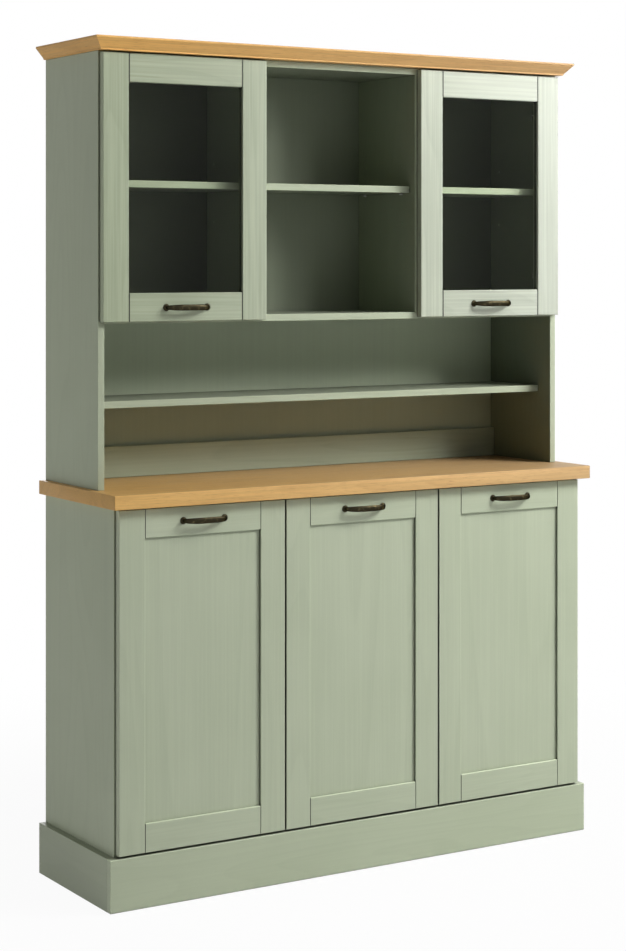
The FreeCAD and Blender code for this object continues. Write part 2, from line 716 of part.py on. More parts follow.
def beads(label, inner_left, inner_right, inner_bottom, inner_top, glass_rear):
    """Four strips that hold the pane in its rebate from behind."""
    ys = (glass_rear, f"{glass_rear} + bead_depth")
    outer_left = f"({inner_left} - slot_depth)"
    outer_right = f"({inner_right} + slot_depth)"
    strips = []
    for zs in ((f"{inner_bottom} - slot_depth", inner_bottom), (inner_top, f"{inner_top} + slot_depth")):
        strips.append(board(f"{label}_bead", (outer_left, outer_right), ys, zs, ()))
    for xs in ((outer_left, inner_left), (inner_right, outer_right)):
        strips.append(board(f"{label}_bead", xs, ys, (inner_bottom, inner_top), ()))
    keep(f"{label}_beads", *strips)


def base_doors():
    bottom = "(base_floor_level + plinth_door_gap)"
    top = "(base_height - door_gap)"
    handle_z = f"({top} - handle_edge_distance)"
    first_left = f"(door_gap - {SIDE_OUT})"
    hinge_zs = (f"({bottom} + hinge_inset)", f"({top} - hinge_inset)")
    for place, (name, hinge, face) in enumerate((
        ("left", -1, minus(SIDE_IN)),
        ("centre", -1, minus(BASE_DIVIDER_IN)),
        ("right", 1, SIDE_IN),
    )):
        left = f"({first_left} + {place} * ({BASE_DOOR_WIDTH} + door_gap))"
        right = f"({left} + {BASE_DOOR_WIDTH})"
        door(f"base_{name}_door", left, right, bottom, top, BASE_DOOR_FRONT, hinge, handle_z, False)
        cup_x = cup_place(left, right, hinge)
        for z in hinge_zs:
            hinge_arm(f"base_{name}_arm", face, -hinge, BASE_FRONT, cup_x, z)


def glass_doors():
    bottom = f"({NICHE_TOP} + door_gap)"
    top = f"({HUTCH_TOP} - door_gap)"
    handle_z = f"({bottom} + handle_edge_distance)"
    inner = f"({HUTCH_DIVIDER_IN} + divider_reveal)"
    outer = f"({SIDE_OUT} - door_gap)"
    hinge_zs = (f"({bottom} + hinge_inset)", f"({top} - hinge_inset)")
    for name, hinge, xs, face in (
        ("left", -1, mirrored(inner, outer), minus(SIDE_IN)),
        ("right", 1, (inner, outer), SIDE_IN),
    ):
        door(f"glass_{name}_door", *xs, bottom, top, GLASS_DOOR_FRONT, hinge, handle_z, True)
        cup_x = cup_place(*xs, hinge)
        for z in hinge_zs:
            hinge_arm(f"glass_{name}_arm", face, -hinge, HUTCH_FRONT, cup_x, z)


def finish_piece(label, item):
    """Cut the drilled holes from a piece and give it its node name."""
    if label in drills:
        bits = doc.addObject("Part::Compound", f"{label}_holes")
        bits.Links = drills[label]
        drilled = doc.addObject("Part::Cut", f"{label}_drilled")
        drilled.Base = item
        drilled.Tool = bits
        item = drilled
    item.Label = label
    return item


plinth()
floor_glides()
carcass_sides()
back_panels()
cross_boards()
dividers()
shelves()
countertop()
counter_screws()
cornice()
carcass_dowels()
base_doors()
glass_doors()
keep("shelf_pins", *shelf_pins)
keep("hinge_arms", *hinge_arms)

finished = {label: finish_piece(label, item) for label, item in pieces.items()}
doc.recompute()

for item in doc.Objects:
    if {"Invalid", "Error"} & set(item.State):
        raise RuntimeError(f"{item.Name} failed: {item.State}")
for label, item in finished.items():
    if item.Shape.isNull() or not item.Shape.isValid() or not item.Shape.Solids:
        raise RuntimeError(f"{label} has no valid solid")

os.makedirs("parts", exist_ok=True)
for label, item in finished.items():
    item.Shape.exportStep(f"parts/{label}.step")
    print(f"{label}: {len(item.Shape.Solids)} solids, {item.Shape.Volume / 1000:.1f} cm3")
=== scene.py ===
"""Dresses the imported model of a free-standing buffet cabinet and sets up its studio scene.

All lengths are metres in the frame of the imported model: X to the right, Y to the rear, Z up, with
the floor at Z = 0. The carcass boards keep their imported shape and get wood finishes; the counter,
the cornice, the handles and all small hardware are modelled here.
"""

import json
import logging
import math
from collections.abc import Callable, Iterable, Mapping, Sequence
from dataclasses import dataclass
from enum import Enum

import bmesh
import bpy
from mathutils import Euler, Matrix, Vector

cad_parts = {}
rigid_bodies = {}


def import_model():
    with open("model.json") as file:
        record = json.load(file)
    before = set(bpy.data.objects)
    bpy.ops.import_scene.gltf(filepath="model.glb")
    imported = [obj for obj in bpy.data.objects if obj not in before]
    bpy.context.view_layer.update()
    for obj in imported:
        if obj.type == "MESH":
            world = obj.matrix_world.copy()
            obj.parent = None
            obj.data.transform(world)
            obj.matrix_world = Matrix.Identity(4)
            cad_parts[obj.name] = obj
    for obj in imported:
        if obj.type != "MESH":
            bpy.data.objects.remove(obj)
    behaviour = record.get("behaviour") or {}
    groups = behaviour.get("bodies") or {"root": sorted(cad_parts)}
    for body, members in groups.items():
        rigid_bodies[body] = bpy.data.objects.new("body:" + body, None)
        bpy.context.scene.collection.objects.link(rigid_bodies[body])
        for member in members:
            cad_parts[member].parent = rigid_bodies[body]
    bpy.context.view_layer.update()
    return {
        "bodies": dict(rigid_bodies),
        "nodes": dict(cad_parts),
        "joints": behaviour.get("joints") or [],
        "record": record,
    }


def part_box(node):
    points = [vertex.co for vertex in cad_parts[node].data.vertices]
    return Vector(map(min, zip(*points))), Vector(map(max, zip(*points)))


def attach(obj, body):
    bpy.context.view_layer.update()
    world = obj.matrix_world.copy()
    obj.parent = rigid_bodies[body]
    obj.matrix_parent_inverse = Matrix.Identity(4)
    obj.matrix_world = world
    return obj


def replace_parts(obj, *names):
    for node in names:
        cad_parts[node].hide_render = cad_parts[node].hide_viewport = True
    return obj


LOG = logging.getLogger("buffet_cabinet")

Material = bpy.types.Material
Mesh = bpy.types.Mesh
Node = bpy.types.Node
Piece = bpy.types.Object
Socket = bpy.types.NodeSocket
Tree = bpy.types.NodeTree
Vertex = bmesh.types.BMVert
Value = object
Colour = tuple[float, float, float]
Point = tuple[float, float, float]
Profile = Sequence[tuple[float, float]]

GRAIN_PLACE = "grain_place"
SHADER_TREE = "ShaderNodeTree"
GEOMETRY_TREE = "GeometryNodeTree"
WELD = 1e-6
RECESS_PROUD = 0.00004
BOTH_SIDES = (-1, 1)
HUTCH_FLOOR = (1.3, 1.32)
WHITE: Colour = (1.0, 1.0, 1.0)


class Grain(Enum):
    """The way a board's grain runs; the value is the turn that stands the grain upright."""

    UP = (0.0, 0.0, 0.0)
    ACROSS = (0.0, math.pi / 2, 0.0)
    DEEP = (math.pi / 2, 0.0, 0.0)


class Hung(Enum):
    """The side that a door hangs on; the value is the sign of that side's X."""

    LEFT = -1
    RIGHT = 1


class Facing(Enum):
    """The way a small part's own +Z axis points once it is in place, as Euler angles."""

    UP = (0.0, 0.0, 0.0)
    DOWN = (math.pi, 0.0, 0.0)
    FRONT = (math.pi / 2, 0.0, 0.0)
    REAR = (-math.pi / 2, 0.0, 0.0)
    LEFT = (0.0, -math.pi / 2, 0.0)
    RIGHT = (0.0, math.pi / 2, 0.0)


class Plug(Enum):
    """What an input or output of a node group carries, by Blender's name for it."""

    NUMBER = "NodeSocketFloat"
    VECTOR = "NodeSocketVector"
    GEOMETRY = "NodeSocketGeometry"
    MATERIAL = "NodeSocketMaterial"
    OBJECT = "NodeSocketObject"


class Graph:
    """Adds nodes to one node tree; an input is a plain value to set or a socket to join."""

    def __init__(self, tree: Tree) -> None:
        """Keep the tree that the nodes go into."""
        self.tree = tree

    def fill(self, node: Node, inputs: Mapping[str | int, Value]) -> None:
        """Join sockets to a node's inputs, or set the inputs to plain values.

        Args:
            node: The node.
            inputs: Values or sockets, by the input's name or place; a colour has no alpha.
        """
        for key, value in inputs.items():
            target = node.inputs[key]
            if isinstance(value, Socket):
                self.tree.links.new(value, target)
            else:
                target.default_value = (*value, 1.0) if target.type == "RGBA" else value

    def node(
        self, kind: str, inputs: Mapping[str | int, Value] | None = None, **settings: Value
    ) -> Node:
        """Add one node.

        Args:
            kind: Blender's type name of the node.
            inputs: Values or sockets, by the input's name or place.
            settings: Properties of the node itself.

        Returns:
            The new node.
        """
        node = self.tree.nodes.new(kind)
        for name, setting in settings.items():
            setattr(node, name, setting)
        self.fill(node, inputs or {})
        return node

    def calc(self, operation: str, *values: Value) -> Socket:
        """One step of arithmetic on numbers or sockets, by Blender's name of the operation."""
        return self.node("ShaderNodeMath", dict(enumerate(values)), operation=operation).outputs[0]

    def _folded(self, operation: str, values: Sequence[Value]) -> Socket:
        """Join several numbers or sockets by one operation, from first to last.

        Args:
            operation: Blender's name of the operation.
            values: The numbers or sockets.

        Returns:
            The result.
        """
        result = values[0]
        for value in values[1:]:
            result = self.calc(operation, result, value)
        return result

    def total(self, *values: Value) -> Socket:
        """The sum of several numbers or sockets."""
        return self._folded("ADD", values)

    def product(self, *values: Value) -> Socket:
        """The product of several numbers or sockets."""
        return self._folded("MULTIPLY", values)

    def most(self, *values: Value) -> Socket:
        """The greatest of several numbers or sockets."""
        return self._folded("MAXIMUM", values)

    def vector(self, operation: str, *values: Value) -> Socket:
        """One step of vector arithmetic.

        Args:
            operation: Blender's name of the operation.
            values: Its operands, vectors or sockets.

        Returns:
            The resulting vector, or the number where the operation gives one.
        """
        node = self.node("ShaderNodeVectorMath", dict(enumerate(values)), operation=operation)
        return node.outputs["Value" if operation in ("DOT_PRODUCT", "LENGTH") else "Vector"]

    def scaled(self, vector: Socket, factor: Value) -> Socket:
        """A vector times a number or socket."""
        inputs = {0: vector, "Scale": factor}
        return self.node("ShaderNodeVectorMath", inputs, operation="SCALE").outputs["Vector"]

    def joined(self, x: Value, y: Value, z: Value) -> Socket:
        """A vector made of three numbers or sockets."""
        return self.node("ShaderNodeCombineXYZ", {"X": x, "Y": y, "Z": z}).outputs[0]

    def parts(self, vector: Value) -> tuple[Socket, Socket, Socket]:
        """The X, Y and Z of a vector."""
        outputs = self.node("ShaderNodeSeparateXYZ", {0: vector}).outputs
        return outputs[0], outputs[1], outputs[2]

    def spread(
        self, value: Value, low: float, high: float, to_low: float = 0.0, to_high: float = 1.0
    ) -> Socket:
        """Map a value smoothly from one range onto another, clamped at both ends.

        Args:
            value: The number to map.
            low: Start of its range.
            high: End of its range.
            to_low: Result at the start.
            to_high: Result at the end.

        Returns:
            The mapped number.
        """
        ends = {"From Min": low, "From Max": high, "To Min": to_low, "To Max": to_high}
        inputs = {"Value": value, **ends}
        node = self.node("ShaderNodeMapRange", inputs, interpolation_type="SMOOTHSTEP")
        return node.outputs["Result"]

    def mixed(self, share: Value, low: Value, high: Value) -> Socket:
        """Blend two colours; a share of 0 gives the first and 1 the second."""
        inputs = {0: share, 6: low, 7: high}
        return self.node("ShaderNodeMix", inputs, data_type="RGBA").outputs[2]

    def toned(self, colour: Value, tone: Value, strength: Value = 1.0) -> Socket:
        """A colour with its brightness and its strength of colour multiplied."""
        inputs = {"Saturation": strength, "Value": tone, "Color": colour}
        return self.node("ShaderNodeHueSaturation", inputs).outputs[0]

    def noise(self, vector: Value, scale: Value, detail: float = 2.0, rough: float = 0.5) -> Socket:
        """Smooth noise from 0 to 1.

        Args:
            vector: Where to read it.
            scale: Cells to the metre.
            detail: Number of finer layers.
            rough: Share that each finer layer adds.

        Returns:
            The noise value.
        """
        inputs = {"Vector": vector, "Scale": scale, "Detail": detail, "Roughness": rough}
        return self.node("ShaderNodeTexNoise", inputs).outputs[0]

    def place(self) -> Socket:
        """Where the surface is on its object, in metres."""
        return self.node("ShaderNodeTexCoord").outputs["Object"]

    def surface(self, output: str = "Normal") -> Socket:
        """The surface's normal, or another of its measures by name."""
        return self.node("ShaderNodeNewGeometry").outputs[output]

    def placed(self, group: Tree, inputs: Mapping[str, Value]) -> Node:
        """Place a shader group with its own values for the named inputs."""
        return self.node("ShaderNodeGroup", inputs, node_tree=group)


def new_tree(
    name: str, kind: str, takes: Mapping[str, tuple[Plug, Value]], gives: Mapping[str, Plug]
) -> tuple[Graph, Mapping[str, Socket], Node]:
    """Start a node group with named inputs and outputs.

    Args:
        name: Name of the group.
        kind: Blender's type name of the tree.
        takes: What each input carries and its starting value, by name; None for no value.
        gives: What each output carries, by name.

    Returns:
        The graph, the sockets of its inputs and its output node.
    """
    tree = bpy.data.node_groups.new(name, kind)
    for label, (plug, start) in takes.items():
        socket = tree.interface.new_socket(label, in_out="INPUT", socket_type=plug.value)
        if start is not None:
            socket.default_value = start
    for label, plug in gives.items():
        tree.interface.new_socket(label, in_out="OUTPUT", socket_type=plug.value)
    graph = Graph(tree)
    return graph, graph.node("NodeGroupInput").outputs, graph.node("NodeGroupOutput")


def close_tree(graph: Graph, takes: Mapping[str, Socket], gives: Node, shape: Socket) -> None:
    """End a geometry tree: real geometry in the finish that it is given.

    Args:
        graph: The tree's graph.
        takes: Its inputs, with a Finish among them.
        gives: Its output node.
        shape: The geometry so far.
    """
    real = graph.node("GeometryNodeRealizeInstances", {"Geometry": shape})
    dressed = graph.node(
        "GeometryNodeSetMaterial", {"Geometry": real.outputs[0], "Material": takes["Finish"]})
    graph.fill(gives, {"Geometry": dressed.outputs[0]})


class Effects:
    """Shader groups that several finishes share, each built once."""

    FIGURE_STRETCH = (1.0, 1.0, 0.085)
    FIGURE_LAYERS = (1.6, 0.42)
    FIGURE_HEIGHT = -0.25
    FIBRE_STRETCH = (1.0, 1.0, 0.012)
    FIBRE_LAYERS = (3.0, 0.62)
    FIBRE_HEIGHT = 0.6
    PORE_STRETCH = (1.0, 1.0, 0.04)
    PORE_LAYERS = (1.0,)
    PORE_HEIGHT = -0.5
    RING_RISE = 2.4
    RING_FALL = (0.9, 1.0)
    PORE_BAND = (0.6, 0.74)
    EDGE_BAND = (0.86, 0.995)
    JOINT_BAND = (0.5, 0.96)
    LEDGE_BAND = (0.3, 0.8)
    DUST_FACES = (0.75, 1.0)
    DUST_CELLS = 90.0
    DUST_LAYERS = (4.0, 0.65)
    DUST_BAND = (0.35, 0.8)

    def __init__(self) -> None:
        """Build every group."""
        self.grain = self._grain()
        self.arris = self._arris()
        self.crevice = self._crevice()
        self.dust = self._dust()

    def _grain(self) -> Tree:
        """Wood grain along Z: growth figure, fibres and open pores, with a height to match.

        Returns:
            The group.
        """
        scales = {"Figure Scale": 7.0, "Rings": 16.0, "Fibre Scale": 200.0, "Pore Scale": 700.0}
        graph, takes, gives = new_tree(
            "board_grain", SHADER_TREE,
            {"Vector": (Plug.VECTOR, None)}
            | {label: (Plug.NUMBER, start) for label, start in scales.items()},
            {label: Plug.NUMBER for label in ("Figure", "Fibre", "Pores", "Height")})
        figure_way, fibre_way, pore_way = (
            graph.vector("MULTIPLY", takes["Vector"], stretch)
            for stretch in (self.FIGURE_STRETCH, self.FIBRE_STRETCH, self.PORE_STRETCH))
        field = graph.noise(figure_way, takes["Figure Scale"], *self.FIGURE_LAYERS)
        saw = graph.calc("FRACT", graph.product(field, takes["Rings"]))
        rise = graph.calc("POWER", saw, self.RING_RISE)
        fall = graph.spread(saw, *self.RING_FALL)
        figure = graph.most(graph.calc("SUBTRACT", rise, fall), 0.0)
        fibre = graph.noise(fibre_way, takes["Fibre Scale"], *self.FIBRE_LAYERS)
        pores = graph.noise(pore_way, takes["Pore Scale"], *self.PORE_LAYERS)
        pores = graph.spread(pores, *self.PORE_BAND)
        height = graph.calc(
            "MULTIPLY_ADD", fibre, self.FIBRE_HEIGHT, graph.product(figure, self.FIGURE_HEIGHT))
        height = graph.calc("MULTIPLY_ADD", pores, self.PORE_HEIGHT, height)
        graph.fill(gives, {"Figure": figure, "Fibre": fibre, "Pores": pores, "Height": height})
        return graph.tree

    def _arris(self) -> Tree:
        """A mask that is 1 along outer and inner edges and fades within the given radius.

        Returns:
            The group.
        """
        graph, takes, gives = new_tree(
            "arris", SHADER_TREE, {"Radius": (Plug.NUMBER, 0.0015)}, {"Mask": Plug.NUMBER})
        rounded = graph.node("ShaderNodeBevel", {"Radius": takes["Radius"]}, samples=4)
        likeness = graph.vector("DOT_PRODUCT", rounded.outputs["Normal"], graph.surface())
        graph.fill(gives, {"Mask": graph.spread(likeness, *self.EDGE_BAND, 1.0, 0.0)})
        return graph.tree

    def _crevice(self) -> Tree:
        """A mask of painted shade from occlusion: 1 deep in joints and recesses, less so on faces
        that look up by the share Ledges.

        Returns:
            The group.
        """
        graph, takes, gives = new_tree(
            "crevice", SHADER_TREE,
            {"Distance": (Plug.NUMBER, 0.003), "Ledges": (Plug.NUMBER, 0.25)},
            {"Mask": Plug.NUMBER})
        shade = graph.node(
            "ShaderNodeAmbientOcclusion", {"Distance": takes["Distance"]}, samples=6)
        upward = graph.spread(graph.parts(graph.surface())[2], *self.LEDGE_BAND)
        opened = graph.total(shade.outputs["AO"], graph.product(upward, takes["Ledges"]))
        graph.fill(gives, {"Mask": graph.spread(opened, *self.JOINT_BAND, 1.0, 0.0)})
        return graph.tree

    def _dust(self) -> Tree:
        """A mask of fine dust on faces that look up.

        Returns:
            The group.
        """
        graph, takes, gives = new_tree(
            "dust", SHADER_TREE, {"Vector": (Plug.VECTOR, None), "Amount": (Plug.NUMBER, 0.5)},
            {"Mask": Plug.NUMBER})
        upward = graph.spread(graph.parts(graph.surface())[2], *self.DUST_FACES)
        specks = graph.noise(takes["Vector"], self.DUST_CELLS, *self.DUST_LAYERS)
        specks = graph.spread(specks, *self.DUST_BAND)
        mask = graph.product(upward, specks, takes["Amount"])
        graph.fill(gives, {"Mask": mask})
        return graph.tree


class Coat(Graph):
    """A material under way: its Principled shader and the shader groups that finishes share."""

    def __init__(self, name: str, effects: Effects | None = None) -> None:
        """Start the material.

        Args:
            name: Name of the material.
            effects: The shared groups, for a finish that uses them.
        """
        self.material = bpy.data.materials.new(name)
        self.material.use_nodes = True
        super().__init__(self.material.node_tree)
        self.effects = effects
        self.shader = self.tree.nodes["Principled BSDF"]

    def dress(self, inputs: Mapping[str, Value]) -> None:
        """Fill inputs of the Principled shader."""
        self.fill(self.shader, inputs)

    def bump(self, height: Socket, depth: float) -> None:
        """Raise the surface by a height map, where 1 stands for the depth in metres."""
        inputs = {"Height": height, "Strength": 1.0, "Distance": depth}
        self.dress({"Normal": self.node("ShaderNodeBump", inputs).outputs["Normal"]})

    def mask(self, group: Tree, inputs: Mapping[str, Value]) -> Socket:
        """The mask of one of the shared groups."""
        return self.placed(group, inputs).outputs["Mask"]

    def cover(self, share: Socket, under: Socket, over: Socket) -> None:
        """Show one shader over another by a share, in place of the Principled shader alone."""
        mix = self.node("ShaderNodeMixShader", {0: share, 1: under, 2: over})
        self.fill(self.tree.nodes["Material Output"], {"Surface": mix.outputs[0]})


@dataclass(frozen=True)
class Finish:
    """What all finishes share: a name and the record's material slot."""

    name: str
    slot: str

    def build(self, effects: Effects) -> Material:
        """Make the material.

        Args:
            effects: The shared shader groups.

        Returns:
            The material.
        """
        coat = Coat(self.name, effects)
        self.lay(coat)
        return coat.material

    def lay(self, coat: Coat) -> None:
        """Give the material its own nodes."""
        raise NotImplementedError


@dataclass(frozen=True)
class WoodFinish(Finish):
    """A wooden surface: paint over softwood, oiled oak or bare beech, by its numbers.

    Without a way of grain it reads the place in the grain that write_grain stores on the mesh.
    """

    pale: Colour
    deep: Colour
    line: Colour
    grain: Grain | None = Grain.UP
    shift: Point = (0.0, 0.0, 0.0)
    figure_scale: float = 7.0
    rings: float = 16.0
    fibre_scale: float = 200.0
    pore_scale: float = 700.0
    figure_share: float = 0.3
    fibre_contrast: float = 0.1
    pore_share: float = 0.0
    wash_share: float = 0.0
    # Painted shade on faces inside the cabinet: its factor, a further factor above the hutch floor,
    # and whether both faces of a board take it.
    inner_tone: float = 1.0
    upper_share: float = 0.84
    both_inner: bool = False
    # Painted light that changes along X: lighter towards +X above 0, towards -X below 0.
    drift: float = 0.0
    strength: float = 1.0
    # Painted sheen: how fast the colour pales along X.
    fade: float = 0.0
    # Painted tone on faces that look up: light above 0, shade below.
    ledge_lift: float = 0.0
    # How much faces that look up are spared the painted shade of crevices.
    ledge_spared: float = 0.25
    # Painted tone on faces that look aside: light above 0, shade below.
    end_lift: float = 0.0
    seams: tuple[float, ...] = ()
    seam_half: float = 0.0008
    seam_share: float = 0.9
    # Painted highlight along edges: its radius and how much it lightens.
    edge_radius: float = 0.002
    edge_lift: float = 0.32
    # Painted shade in crevices and recesses: its share, its reach and its colour.
    crevice_share: float = 0.6
    crevice_reach: float = 0.003
    crevice_tone: float = 0.08
    sheen_level: float = 0.22
    gloss_low: float = 0.38
    gloss_high: float = 0.5
    relief: float = 0.0001
    dust: float = 0.05
    dust_colour: Colour = (0.62, 0.6, 0.56)
    dust_dulling: float = 0.4

    MOTTLE_CELLS = 3.0
    MOTTLE_BAND = (0.3, 0.7)
    GLOSS_BAND = (0.25, 0.75)
    STREAK_BAND = (0.42, 0.66)
    LOOKS_UP = (0.3, 0.9)
    LOOKS_ASIDE = (0.5, 0.9)
    LOOKS_FORWARD = 0.5

    def lay(self, coat: Coat) -> None:
        """Lay the wood's colour with its painted light and shade, joints, dust, gloss and relief.

        Args:
            coat: The material under way.
        """
        if self.grain is None:
            way = coat.node("ShaderNodeAttribute", attribute_name=GRAIN_PLACE).outputs["Vector"]
        else:
            turned = {"Vector": coat.place(), "Rotation": self.grain.value, "Location": self.shift}
            way = coat.node("ShaderNodeMapping", turned).outputs["Vector"]
        grain = coat.placed(coat.effects.grain, {
            "Vector": way, "Figure Scale": self.figure_scale, "Rings": self.rings,
            "Fibre Scale": self.fibre_scale, "Pore Scale": self.pore_scale}).outputs
        aside = coat.parts(coat.place())[0]
        toned = self._toned(coat, grain, aside, self._body(coat, grain, way))
        jointed = self._jointed(coat, aside, toned)
        dust = coat.mask(coat.effects.dust, {"Vector": way, "Amount": self.dust})
        gloss = coat.spread(grain["Fibre"], *self.GLOSS_BAND, self.gloss_low, self.gloss_high)
        coat.dress({
            "Base Color": coat.mixed(dust, jointed, self.dust_colour),
            "Roughness": coat.calc("MULTIPLY_ADD", dust, self.dust_dulling, gloss),
            "Specular IOR Level": self.sheen_level})
        coat.bump(grain["Height"], self.relief)

    def _body(self, coat: Coat, grain: Mapping[str, Socket], way: Socket) -> Socket:
        """The boards' colour: mottle, figure, pores, painted shade on the faces inside the cabinet
        and the wash.

        Args:
            coat: The material under way.
            grain: What the grain group gives.
            way: The place in the grain.

        Returns:
            The colour.
        """
        mottle = coat.spread(coat.noise(way, self.MOTTLE_CELLS), *self.MOTTLE_BAND)
        body = coat.mixed(mottle, self.pale, self.deep)
        for layer, share in (("Figure", self.figure_share), ("Pores", self.pore_share)):
            body = coat.mixed(coat.product(grain[layer], share), body, self.line)
        # Painted shade on the faces inside the cabinet.
        if self.inner_tone < 1.0:
            body = self._darkened_inside(coat, body)
        if self.wash_share:
            streaks = coat.spread(grain["Fibre"], *self.STREAK_BAND, 0.0, self.wash_share)
            body = coat.mixed(streaks, body, paler(self.pale, 1.25, 0.03))
        return body

    def _darkened_inside(self, coat: Coat, body: Socket) -> Socket:
        """Paint shade on the faces inside the cabinet, deeper above the hutch floor; front edges
        stay pale.

        Args:
            coat: The material under way.
            body: The colour so far.

        Returns:
            The new colour.
        """
        across, along, _ = coat.parts(coat.surface())
        aside, _, height = coat.parts(coat.surface("Position"))
        inner = coat.calc("LESS_THAN", coat.calc("ABSOLUTE", along), self.LOOKS_FORWARD)
        if not self.both_inner:
            inner = coat.product(inner, coat.calc("LESS_THAN", coat.product(across, aside), 0.0))
        tone = coat.spread(
            height, *HUTCH_FLOOR, self.inner_tone, self.inner_tone * self.upper_share)
        tone = coat.calc("MULTIPLY_ADD", inner, coat.calc("SUBTRACT", tone, 1.0), 1.0)
        return coat.toned(body, tone)

    def _toned(
        self, coat: Coat, grain: Mapping[str, Socket], aside: Socket, body: Socket
    ) -> Socket:
        """Vary the brightness with fibres and with painted light and shade: highlights on edges, a
        tone on faces that look up and on faces that look aside, a drift of light along X, and a
        sheen that pales the colour along X.

        Args:
            coat: The material under way.
            grain: What the grain group gives.
            aside: The X of the surface.
            body: The colour so far.

        Returns:
            The new colour.
        """
        edge = coat.mask(coat.effects.arris, {"Radius": self.edge_radius})
        across, _, upright = coat.parts(coat.surface())
        tone = coat.total(
            1.0,
            coat.product(coat.calc("SUBTRACT", grain["Fibre"], 0.5), self.fibre_contrast * 2),
            # Painted highlight along edges.
            coat.product(edge, self.edge_lift),
            # Painted light that changes along X.
            coat.product(aside, self.drift),
            # Painted tone on faces that look up: light above 0, shade below.
            coat.spread(upright, *self.LOOKS_UP, 0.0, self.ledge_lift),
            # Painted tone on faces that look aside: light above 0, shade below.
            coat.spread(coat.calc("ABSOLUTE", across), *self.LOOKS_ASIDE, 0.0, self.end_lift))
        # Painted sheen that pales the colour along X.
        strength = coat.calc("MULTIPLY_ADD", aside, -self.fade, self.strength)
        return coat.toned(body, tone, strength)

    def _jointed(self, coat: Coat, aside: Socket, toned: Socket) -> Socket:
        """Paint shade into crevices and recesses, and darken the seams between stiles and rails.

        Args:
            coat: The material under way.
            aside: The X of the surface.
            toned: The colour so far.

        Returns:
            The new colour.
        """
        # Painted shade in crevices and recesses, read from ambient occlusion.
        deep = coat.mask(
            coat.effects.crevice, {"Distance": self.crevice_reach, "Ledges": self.ledge_spared})
        share = coat.product(deep, self.crevice_share)
        for seam in self.seams:
            joint = coat.calc("COMPARE", coat.calc("ABSOLUTE", aside), seam, self.seam_half)
            share = coat.most(share, coat.product(joint, self.seam_share))
        return coat.mixed(share, toned, shaded(self.line, self.crevice_tone))


@dataclass(frozen=True)
class BackBoardFinish(Finish):
    """A thin panel: painted in front, raw pressed fibre behind the given plane; painted light and
    shade vary its paint bay by bay.
    """

    paint: Colour
    fibre: Colour
    middle: float
    bay_half: float = 0.222
    niche_top: float = 1.31
    niche_shelf: tuple[float, float] = (1.1, 1.13)
    # Painted light in the niche, stronger above its shelf, and painted shade in the centre bay and
    # the glazed cabinets.
    niche_tone: float = 1.35
    upper_tone: float = 1.75
    bay_tone: float = 0.9
    cabinet_tone: float = 0.42
    brushing: float = 0.5
    sheen_level: float = 0.2
    relief: float = 0.00025

    FIBRE_CELLS = 150.0
    FELT_CELLS = 1300.0
    FELT_LAYERS = (3.0, 0.7)
    CLOUD_CELLS = 14.0
    CLOUD_LAYERS = (3.0,)
    CLOUD_SHARE = 0.35
    SPECKLE_BAND = (0.45, 0.95)
    PAINT_SHADE = 0.82
    FIBRE_SHADE = 0.6
    PAINT_GLOSS = 0.5
    FIBRE_GLOSS = 0.85

    def lay(self, coat: Coat) -> None:
        """Lay the paint with its painted light and shade bay by bay, and the fibre behind it.

        Args:
            coat: The material under way.
        """
        place = coat.place()
        aside, along, height = coat.parts(place)
        raw = coat.calc("GREATER_THAN", along, self.middle)
        grain = coat.placed(
            coat.effects.grain, {"Vector": place, "Fibre Scale": self.FIBRE_CELLS}).outputs
        painted = coat.mixed(
            coat.product(grain["Fibre"], self.brushing), self.paint,
            shaded(self.paint, self.PAINT_SHADE))
        # Below the hutch the paint is lightened as painted light, more above the niche shelf; in
        # the hutch it is darkened as painted shade, deeply in the glazed cabinets.
        closed = coat.calc("GREATER_THAN", coat.calc("ABSOLUTE", aside), self.bay_half)
        above = coat.spread(closed, 0.0, 1.0, self.bay_tone, self.cabinet_tone)
        niche = coat.spread(height, *self.niche_shelf, self.niche_tone, self.upper_tone)
        hutch = coat.calc("GREATER_THAN", height, self.niche_top)
        tone = coat.calc("MULTIPLY_ADD", hutch, coat.calc("SUBTRACT", above, niche), niche)
        felt = coat.noise(place, self.FELT_CELLS, *self.FELT_LAYERS)
        clouds = coat.noise(place, self.CLOUD_CELLS, *self.CLOUD_LAYERS)
        speckle = coat.calc("MULTIPLY_ADD", clouds, self.CLOUD_SHARE, felt)
        speckle = coat.spread(speckle, *self.SPECKLE_BAND)
        pressed = coat.mixed(speckle, shaded(self.fibre, self.FIBRE_SHADE), self.fibre)
        coat.dress({
            "Base Color": coat.mixed(raw, coat.toned(painted, tone), pressed),
            "Roughness": coat.spread(raw, 0.0, 1.0, self.PAINT_GLOSS, self.FIBRE_GLOSS),
            "Specular IOR Level": self.sheen_level})
        coat.bump(coat.product(felt, raw), self.relief)


